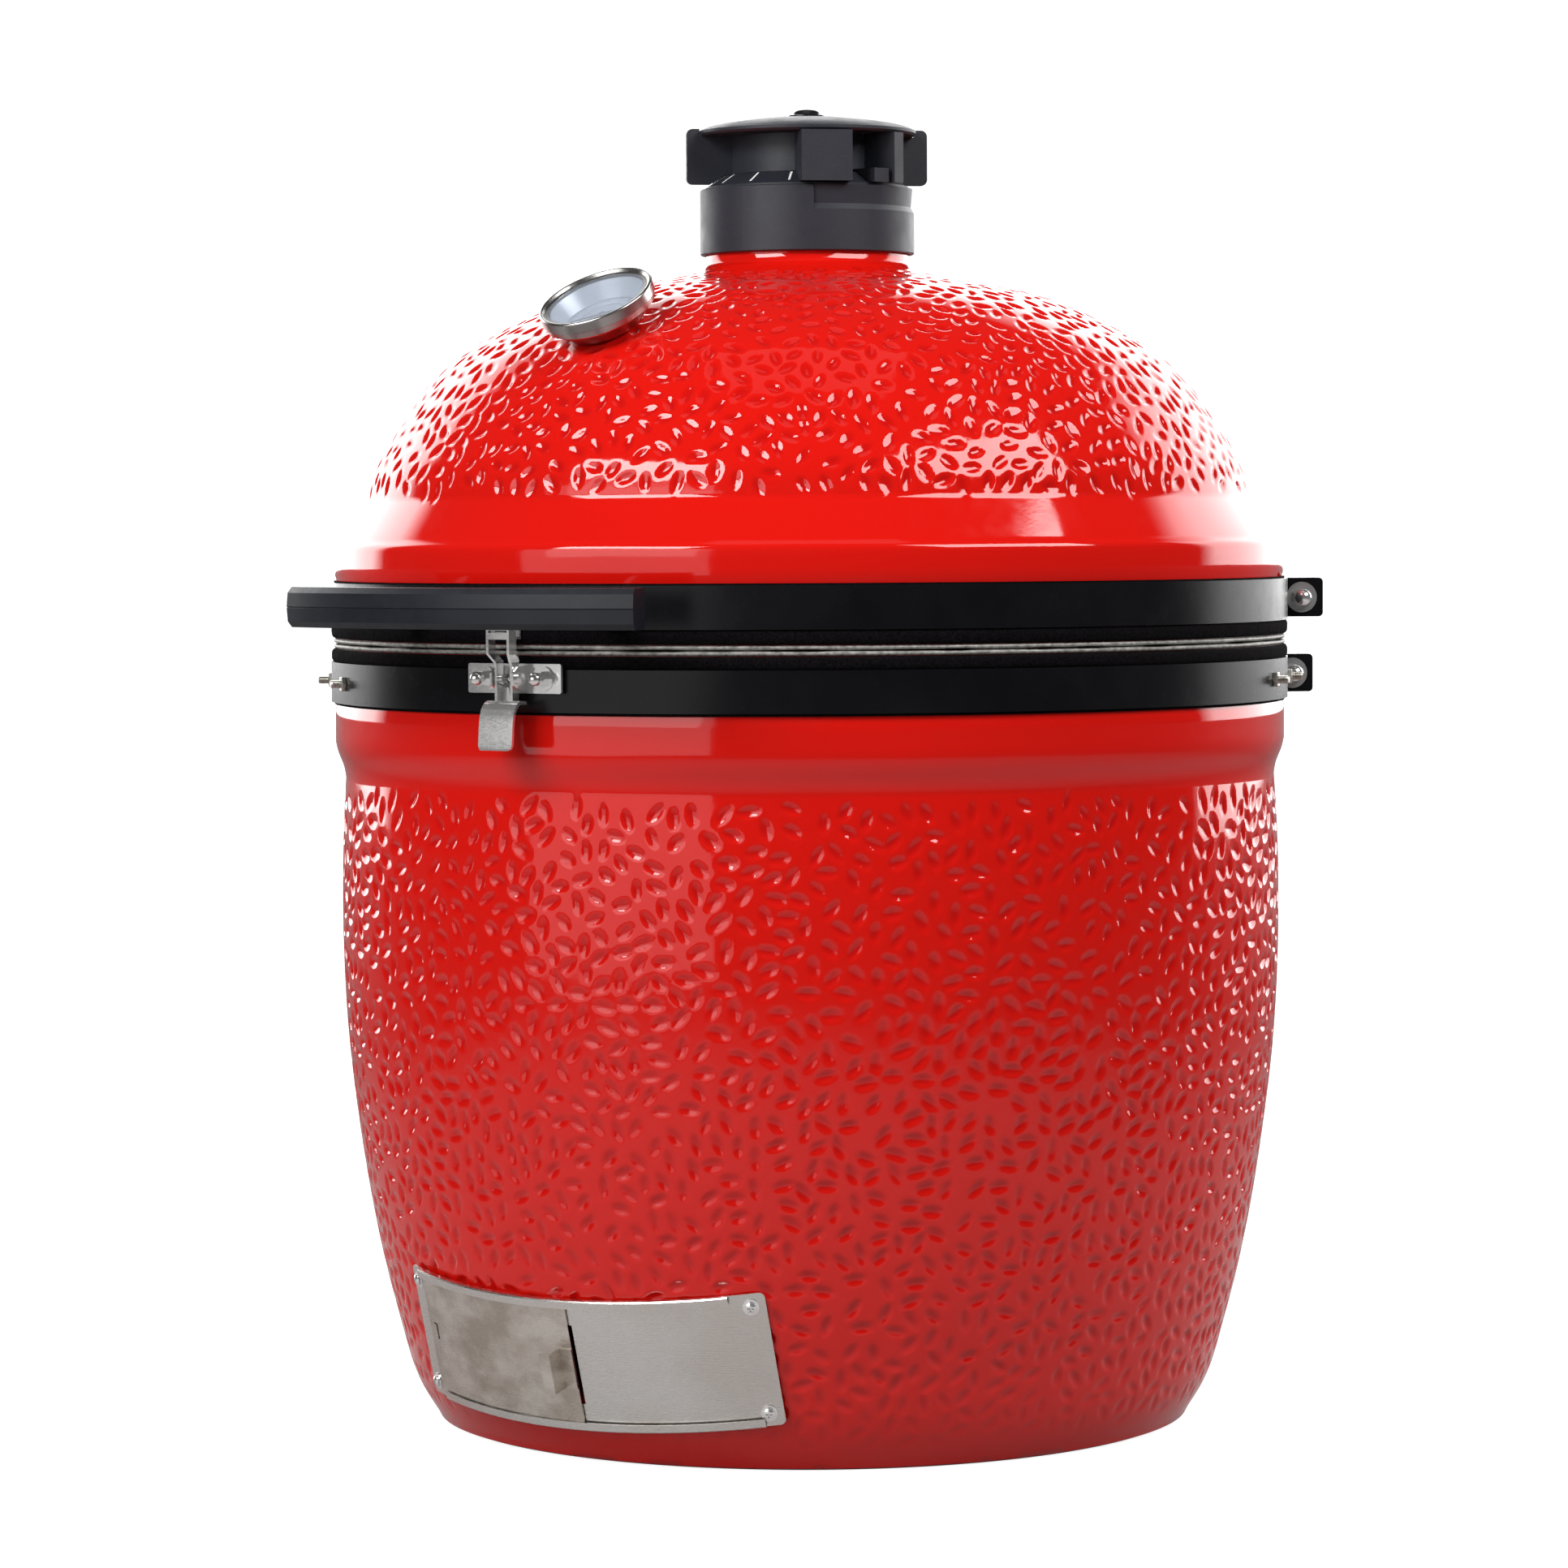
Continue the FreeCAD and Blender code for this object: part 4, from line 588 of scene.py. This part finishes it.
def glazed_lid():
    """The dome as one closed surface, dimpled above its skirt."""
    edge = spline(LID_RING_EDGE, 1.6)
    skirt = straight([LID_RING_EDGE[-1], LID_DOME[0]], 3.0)
    dome = spline(LID_DOME, GRID)
    ring = straight([(344, 610), (344, 627)], 6.0)
    rows = np.concatenate([ring, edge[1:], skirt[1:], dome[1:]])
    run, normal = outline_frame(rows)
    start = len(ring) + len(edge) + len(skirt) - 3
    low = run[start] + 5.0
    high = np.interp(-84, -rows[start:, 0], run[start:])
    dimples = lay_out_dimples(rows, run, low, high, LID_PITCH, LID_SEED)
    turned = Turned()
    turned.row(316, 564.6, AROUND // 8)
    turned.row(330, 564.6, AROUND // 4)
    turned.row(342.6, 564.6, AROUND // 2)
    turned.row(342.6, 606, AROUND // 2)
    glazed_rows(
        turned, rows, run, normal, dimples,
        lambda r: AROUND if r > 165 else AROUND // 2 if r > 85 else AROUND // 4,
        lambda z: np.clip((829 - z) / 6, 0, 1),
    )
    turned.row(73.5, 862, AROUND // 4)
    turned.row(60, 862, AROUND // 4)
    turned.row(50, 862, AROUND // 8)
    turned.row(50, 806, AROUND // 8)
    inner = [
        (50, 806), (60, 801), (100, 795), (160, 782),
        (214, 760), (258, 722), (289, 670), (316, 625),
    ]
    for r, z in spline(inner, 12.0)[1:]:
        turned.row(r, z, AROUND // 8)
    turned.close()
    return turned.make("glazed_lid", finishes["red_glaze"])


def take_place(piece, *cad_nodes):
    """The piece stands for these CAD nodes: it goes on their body, and they are hidden."""
    body = next(b for b, members in bodies.items() if cad_nodes[0] in members)
    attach(piece, body)
    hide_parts(*cad_nodes)


# ------------------------------------------------------------------------------------------------
# Draft window through the glazed wall
# ------------------------------------------------------------------------------------------------
DRAFT_LEAN = 15.0
DRAFT_R = 312.9
DRAFT_MIDDLE = (303.3, 71.4)
WINDOW_ANGLES = (-20.0, 4.6)
WINDOW_HALF_HEIGHT = 28.0


def draft_place():
    """The leaning cylinder's frame, its Z the cylinder's axis, in metres."""
    lean = radians(DRAFT_LEAN)
    front, height = DRAFT_MIDDLE
    origin = Vector((0, -front + DRAFT_R * cos(lean), height + DRAFT_R * sin(lean))) * MM
    return Matrix.Translation(origin) @ Matrix.Rotation(lean, 4, "X")


def cut_window(wall):
    """Cuts the wall along the window's four sides, takes its middle out and closes the sides."""
    place = draft_place()
    turn = place.to_3x3()
    low, high = (radians(a) for a in WINDOW_ANGLES)
    half = WINDOW_HALF_HEIGHT * MM
    sides = [
        (place @ Vector((0, 0, half)), turn @ Vector((0, 0, 1))),
        (place @ Vector((0, 0, -half)), turn @ Vector((0, 0, -1))),
        (place.translation, turn @ Vector((cos(high), sin(high), 0))),
        (place.translation, turn @ Vector((-cos(low), -sin(low), 0))),
    ]

    def inside(point, margin):
        """Whether a point lies in the window, widened by a margin in metres."""
        return all((point - at).dot(out) < margin for at, out in sides) and point.y < -0.15

    bm = bmesh.new()
    bm.from_mesh(wall.data)
    for at, out in sides:
        near = [f for f in bm.faces if inside(f.calc_center_median(), 0.03)]
        parts = set(near)
        for face in near:
            parts.update(face.edges)
            parts.update(face.verts)
        bmesh.ops.bisect_plane(bm, geom=list(parts), plane_co=at, plane_no=out, dist=1e-6)
    middle = [f for f in bm.faces if inside(f.calc_center_median(), 0.0)]
    bmesh.ops.delete(bm, geom=middle, context="FACES")
    rim = [e for e in bm.edges if e.is_boundary]
    made = bmesh.ops.bridge_loops(bm, edges=rim)
    for face in made["faces"]:
        face.smooth = False
    bmesh.ops.recalc_face_normals(bm, faces=made["faces"])
    bm.to_mesh(wall.data)
    bm.free()


base = glazed_base()
cut_window(base)
lid = glazed_lid()
take_place(base, "base_shell")
take_place(lid, "lid_shell")


# ------------------------------------------------------------------------------------------------
# Felts and braided seals
# ------------------------------------------------------------------------------------------------

def felt_strip(name, outline, seed):
    """A felt strip whose bare edge swells past the band and is rough with fibres."""
    rng = np.random.default_rng(seed)
    around = 1440
    turned = Turned()
    for radius, height, rough in outline:
        push = rng.uniform(-rough, rough, around)
        turned.row(radius, height, around, (push, 0.6 * np.roll(push, 3)))
    turned.close()
    return turned.make(name, finishes["felt"])


lower_felt = felt_strip("felt_under_lid_seal", [
    (342.7, 517.2, 0), (344.2, 517.2, 0), (344.2, 547.5, 0), (345.4, 548.6, 0.05), (346.1, 550.3, 0.25),
    (346.2, 552.2, 0.3), (346.0, 554.1, 0.3), (345.6, 555.8, 0.3), (344.6, 556.8, 0.2), (342.7, 557.2, 0),
], 5)
upper_felt = felt_strip("felt_over_base_seal", [
    (342.7, 564.8, 0), (344.6, 565.2, 0.2), (345.6, 566.2, 0.3), (346.0, 568.0, 0.3), (346.2, 570.0, 0.3),
    (346.1, 572.2, 0.25), (345.4, 574.2, 0.05), (344.2, 575.6, 0), (344.2, 605.8, 0), (342.7, 605.8, 0),
], 6)
take_place(lower_felt, "lower_felt")
take_place(upper_felt, "upper_felt")


def braided_seal(name, flat, crown):
    """A woven wire sleeve: a rounded strip with a herringbone of fine strands and a slow wave."""
    around = 2880
    steps = 15
    theta = np.arange(around) * 2 * pi / around
    height = crown - flat
    wander = 0.16 * np.sin(23 * theta) + 0.12 * np.sin(41 * theta + 1) + 0.08 * np.sin(67 * theta + 2)
    turned = Turned()
    turned.row(317.0, flat, around)
    for k in range(steps + 1):
        part = k / steps
        bulge = 1.6 * np.sin(pi * part) ** 0.6
        strand = 0.16 * np.abs(np.sin(360 * theta + 5 * part)) * np.abs(np.sin(360 * theta - 5 * part))
        lift = -np.sign(height) * np.abs(0.28 + wander) * part ** 3
        turned.row(343.0 + bulge, flat + height * part, around, (strand - 0.16, lift))
    turned.row(317.0, crown, around)
    turned.close()
    return turned.make(name, finishes["mesh_seal"])


lower_seal = braided_seal("woven_seal_on_base", 557.45, 560.75)
upper_seal = braided_seal("woven_seal_on_lid", 564.55, 561.25)
take_place(lower_seal, "lower_gasket")
take_place(upper_seal, "upper_gasket")


# ------------------------------------------------------------------------------------------------
# Threaded studs, tick marks and the gauge's print
# ------------------------------------------------------------------------------------------------
STUD_ANGLES = (-53.5, -35.0, 108.0, 122.0)
STUD_Z = 533.5
BAND_R = 346.6


def add_mesh(name, points, faces, material):
    """A new object in the scene from points in metres."""
    mesh = bpy.data.meshes.new(name)
    mesh.from_pydata([tuple(p) for p in points], [], faces)
    mesh.materials.append(material)
    made = bpy.data.objects.new(name, mesh)
    bpy.context.scene.collection.objects.link(made)
    return made


def lathe(rows, columns, place, twist=None):
    """Points and faces of a closed shape turned on its own Z, moved to its place."""
    points = []
    faces = []
    for radius, height in rows:
        for k in range(columns):
            a = 2 * pi * k / columns
            r = radius + (twist(height, a) if twist else 0)
            points.append(place @ Vector((r * cos(a) * MM, r * sin(a) * MM, height * MM)))
    for i in range(len(rows) - 1):
        for k in range(columns):
            j = (k + 1) % columns
            a, b = i * columns, (i + 1) * columns
            faces.append((a + k, a + j, b + j, b + k))
    faces.append(tuple(range(columns))[::-1])
    faces.append(tuple((len(rows) - 1) * columns + k for k in range(columns)))
    return points, faces


def thread(height, a):
    """How far a 1 mm pitch thread stands out at this height and angle, in millimetres."""
    return 0.28 * cos(2 * pi * height / 1.0 - a) if 3.4 < height < 9.8 else 0.0


def studs():
    """All shelf studs with their hexagon nuts, as one mesh."""
    points = []
    faces = []
    for angle in STUD_ANGLES:
        a = radians(angle)
        out = Vector((sin(a), -cos(a), 0))
        place = Matrix.Translation(out * BAND_R * MM + Vector((0, 0, STUD_Z * MM)))
        place = place @ out.to_track_quat("Z", "Y").to_matrix().to_4x4()
        nut = lathe([(5.2, 0), (5.77, 0.4), (5.77, 2.8), (5.2, 3.2)], 6, place)
        rows = [(2.7, 0.1), (2.7, 3.3)] + [(2.7, 3.4 + 0.1 * k) for k in range(65)] + [(2.2, 10.7)]
        for more_points, more_faces in (nut, lathe(rows, 32, place, thread)):
            first = len(points)
            points += more_points
            faces += [tuple(first + v for v in face) for face in more_faces]
    return add_mesh("threaded_studs", points, faces, finishes["zinc_steel"])


take_place(studs(), "shelf_studs")


def marks(name, place, bars, material, body):
    """Thin printed bars; each is a centre line's two ends, a width and the way that faces out."""
    points = []
    faces = []
    for start, end, width, out in bars:
        side = (end - start).cross(out).normalized() * width / 2
        lift = out.normalized() * 0.12
        first = len(points)
        for level in (0, 1):
            for end_point, sign in ((start, -1), (start, 1), (end, 1), (end, -1)):
                points.append(place @ ((end_point + side * sign + lift * level) * MM))
        faces += [
            tuple(first + v for v in f)
            for f in ((3, 2, 1, 0), (4, 5, 6, 7), (0, 1, 5, 4), (1, 2, 6, 5), (2, 3, 7, 6), (3, 0, 4, 7))
        ]
    made = add_mesh(name, points, faces, material)
    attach(made, body)
    return made


TICK_ANGLES = (-23.3, 1.4, 26.1)
TICK_ENDS = ((70.5, 889.82), (60.5, 896.09))
TICK_LIFT = 0.02
TICK_WIDTH = 1.5
DIAL_TILT = 31.0
DIAL_CENTRE = (0, -233.0, 781.0)
DIAL_PRINT_HEIGHT = 9.61
SCALE_START = -135


def drum_ticks():
    """Three radial marks on the flap's cone, for how far the dial is open."""
    bars = []
    for angle in TICK_ANGLES:
        a = radians(angle)
        start, end = (
            Vector((r * sin(a), -r * cos(a), z + TICK_LIFT)) for r, z in TICK_ENDS
        )
        out = Vector((0.53 * sin(a), -0.53 * cos(a), 0.85))
        bars.append((start, end, TICK_WIDTH, out))
    marks("flap_ticks", Matrix.Identity(4), bars, white_print, "vent_flap")


def gauge_print():
    """A scale round the gauge's dial plate: long and short ticks between two thin rings."""
    tilt = radians(DIAL_TILT)
    place = Matrix.Translation(Vector(DIAL_CENTRE) * MM) @ Matrix.Rotation(tilt, 4, "X")
    up = Vector((0, 0, 1))
    bars = []
    height = DIAL_PRINT_HEIGHT
    for k in range(61):
        a = radians(SCALE_START + 4.5 * k)
        inner = 22.0 if k % 5 == 0 else 24.0
        width = 0.55 if k % 5 == 0 else 0.3
        out = Vector((sin(a), cos(a), 0))
        bars.append((out * inner + up * height, out * 25.8 + up * height, width, up))
    for radius in (26.2, 16.5):
        count = 96
        for k in range(count * 3 // 4):
            a, b = (radians(SCALE_START + 360 / count * (k + e)) for e in (0, 1))
            start = Vector((sin(a), cos(a), 0)) * radius + up * height
            end = Vector((sin(b), cos(b), 0)) * radius + up * height
            bars.append((start, end, 0.35, up))
    marks("gauge_scale", place, bars, black_print, "lid")


drum_ticks()
gauge_print()


# ------------------------------------------------------------------------------------------------
# Floor, light and camera
# ------------------------------------------------------------------------------------------------
CAMERA_ANGLE = 36.5
CAMERA_DISTANCE = 3.9
CAMERA_HEIGHT = 0.645
CAMERA_PITCH = 2.776
CAMERA_YAW = 0.278
CAMERA_ROLL = -0.3
CAMERA_LENS = 123.06


FLOOR_RADIUS = 30
FLOOR_GREY = (0.28, 0.28, 0.28)


def white_floor():
    """A floor that looks white, and reflects and lights the grill as a pale grey one."""
    mesh = bpy.data.meshes.new("floor")
    count = 96
    turns = [2 * pi * k / count for k in range(count)]
    ring = [(FLOOR_RADIUS * cos(turn), FLOOR_RADIUS * sin(turn), 0) for turn in turns]
    mesh.from_pydata(ring, [], [tuple(range(count))])
    floor = bpy.data.objects.new("floor", mesh)
    bpy.context.scene.collection.objects.link(floor)
    f = Finish("white_floor", FLOOR_GREY, 0.8)
    f.shader.inputs["Emission Color"].default_value = (1, 1, 1, 1)
    away = f.node("ShaderNodeVectorMath", operation="LENGTH")
    f.link(f.place, away.inputs[0])
    seen = f.node("ShaderNodeLightPath").outputs["Is Camera Ray"]
    tone = f.node("ShaderNodeMix", data_type="RGBA")
    tone.inputs["B"].default_value = (*FLOOR_GREY, 1)
    f.link(seen, tone.inputs["Factor"])
    f.link(f.ramp(away.outputs["Value"], 0.31, 0.03, (0.9, 2.2)), tone.inputs["A"])
    f.link(tone.outputs["Result"], f.shader.inputs["Base Color"])
    glow = f.node("ShaderNodeMath", operation="MULTIPLY")
    f.link(f.ramp(away.outputs["Value"], 0.86, 1.10, (0.36, 1.2)), glow.inputs[0])
    f.link(f.ramp(seen, 0.03, 1.0, (0, 1)), glow.inputs[1])
    f.link(glow.outputs[0], f.shader.inputs["Emission Strength"])
    mesh.materials.append(f.material)


def studio_world():
    """White to the eye; for light, a pale wall behind the grill and a dim room in front of it."""
    world = bpy.data.worlds.new("studio")
    bpy.context.scene.world = world
    world.use_nodes = True
    tree = world.node_tree
    tree.nodes.clear()
    new = tree.nodes.new
    link = tree.links.new
    place = new("ShaderNodeTexCoord").outputs["Generated"]
    behind = new("ShaderNodeVectorMath")
    behind.operation = "DOT_PRODUCT"
    link(place, behind.inputs[0])
    away = radians(CAMERA_ANGLE - 8)
    behind.inputs[1].default_value = (-sin(away), cos(away), 0)
    wall = new("ShaderNodeMapRange")
    link(behind.outputs["Value"], wall.inputs["Value"])
    wall.inputs["From Min"].default_value = 0.42
    wall.inputs["From Max"].default_value = 0.52
    height = new("ShaderNodeSeparateXYZ")
    link(place, height.inputs[0])
    top = new("ShaderNodeMapRange")
    link(height.outputs["Z"], top.inputs["Value"])
    top.inputs["From Min"].default_value = 0.66
    top.inputs["From Max"].default_value = 0.50
    both = new("ShaderNodeMath")
    both.operation = "MULTIPLY"
    link(wall.outputs["Result"], both.inputs[0])
    link(top.outputs["Result"], both.inputs[1])
    strength = new("ShaderNodeMapRange")
    link(both.outputs[0], strength.inputs["Value"])
    strength.inputs["To Min"].default_value = 0.05
    strength.inputs["To Max"].default_value = 4.5
    room = new("ShaderNodeBackground")
    link(strength.outputs["Result"], room.inputs["Strength"])
    seen = new("ShaderNodeBackground")
    seen.inputs["Strength"].default_value = 1.1
    for background in (room, seen):
        background.inputs["Color"].default_value = (1, 1, 1, 1)
    path = new("ShaderNodeLightPath")
    mix = new("ShaderNodeMixShader")
    link(path.outputs["Is Camera Ray"], mix.inputs["Fac"])
    link(room.outputs[0], mix.inputs[1])
    link(seen.outputs[0], mix.inputs[2])
    link(mix.outputs[0], new("ShaderNodeOutputWorld").inputs["Surface"])


LIGHT_TARGET_HEIGHT = 0.55


def softbox(name, angle, elevation, distance, width, height, watts, mirrored=True):
    """An area light aimed at the grill's middle, in degrees, metres and watts.

    The angle is from the front, as everywhere. An unmirrored one shows in no reflection.
    """
    light = bpy.data.lights.new(name, "AREA")
    light.shape = "RECTANGLE"
    light.size = width
    light.size_y = height
    light.energy = watts
    lamp = bpy.data.objects.new(name, light)
    bpy.context.scene.collection.objects.link(lamp)
    a, e = radians(angle), radians(elevation)
    target = Vector((0, 0, LIGHT_TARGET_HEIGHT))
    lamp.location = target + distance * Vector((cos(e) * sin(a), -cos(e) * cos(a), sin(e)))
    lamp.rotation_euler = (target - lamp.location).to_track_quat("-Z", "Y").to_euler()
    lamp.visible_glossy = mirrored


def camera():
    """A long lens from the front right, a little above the rims."""
    data = bpy.data.cameras.new("camera")
    data.lens = CAMERA_LENS
    data.sensor_width = 36
    data.clip_end = 200
    eye = bpy.data.objects.new("camera", data)
    bpy.context.scene.collection.objects.link(eye)
    a = radians(CAMERA_ANGLE)
    eye.location = (CAMERA_DISTANCE * sin(a), -CAMERA_DISTANCE * cos(a), CAMERA_HEIGHT)
    aim = Euler((radians(90 - CAMERA_PITCH), 0, radians(CAMERA_ANGLE + CAMERA_YAW))).to_matrix()
    eye.rotation_euler = (aim @ Matrix.Rotation(radians(CAMERA_ROLL), 3, "Z")).to_euler()
    bpy.context.scene.camera = eye


white_floor()
studio_world()
softbox("left_low", -8, 5, 2.6, 2.2, 1.5, 11)
softbox("left_mid", -6, 14, 2.6, 1.7, 0.9, 7)
softbox("left_high", -9, 34, 2.6, 1.4, 0.8, 50)
softbox("right_high", 88, 39, 2.5, 1.6, 1.1, 54)
softbox("overhead", 36, 84, 3.2, 1.6, 1.6, 3)
softbox("fill", 20, 14, 3.2, 2.2, 1.2, 8, mirrored=False)
camera()
bpy.context.scene.view_settings.view_transform = "Standard"
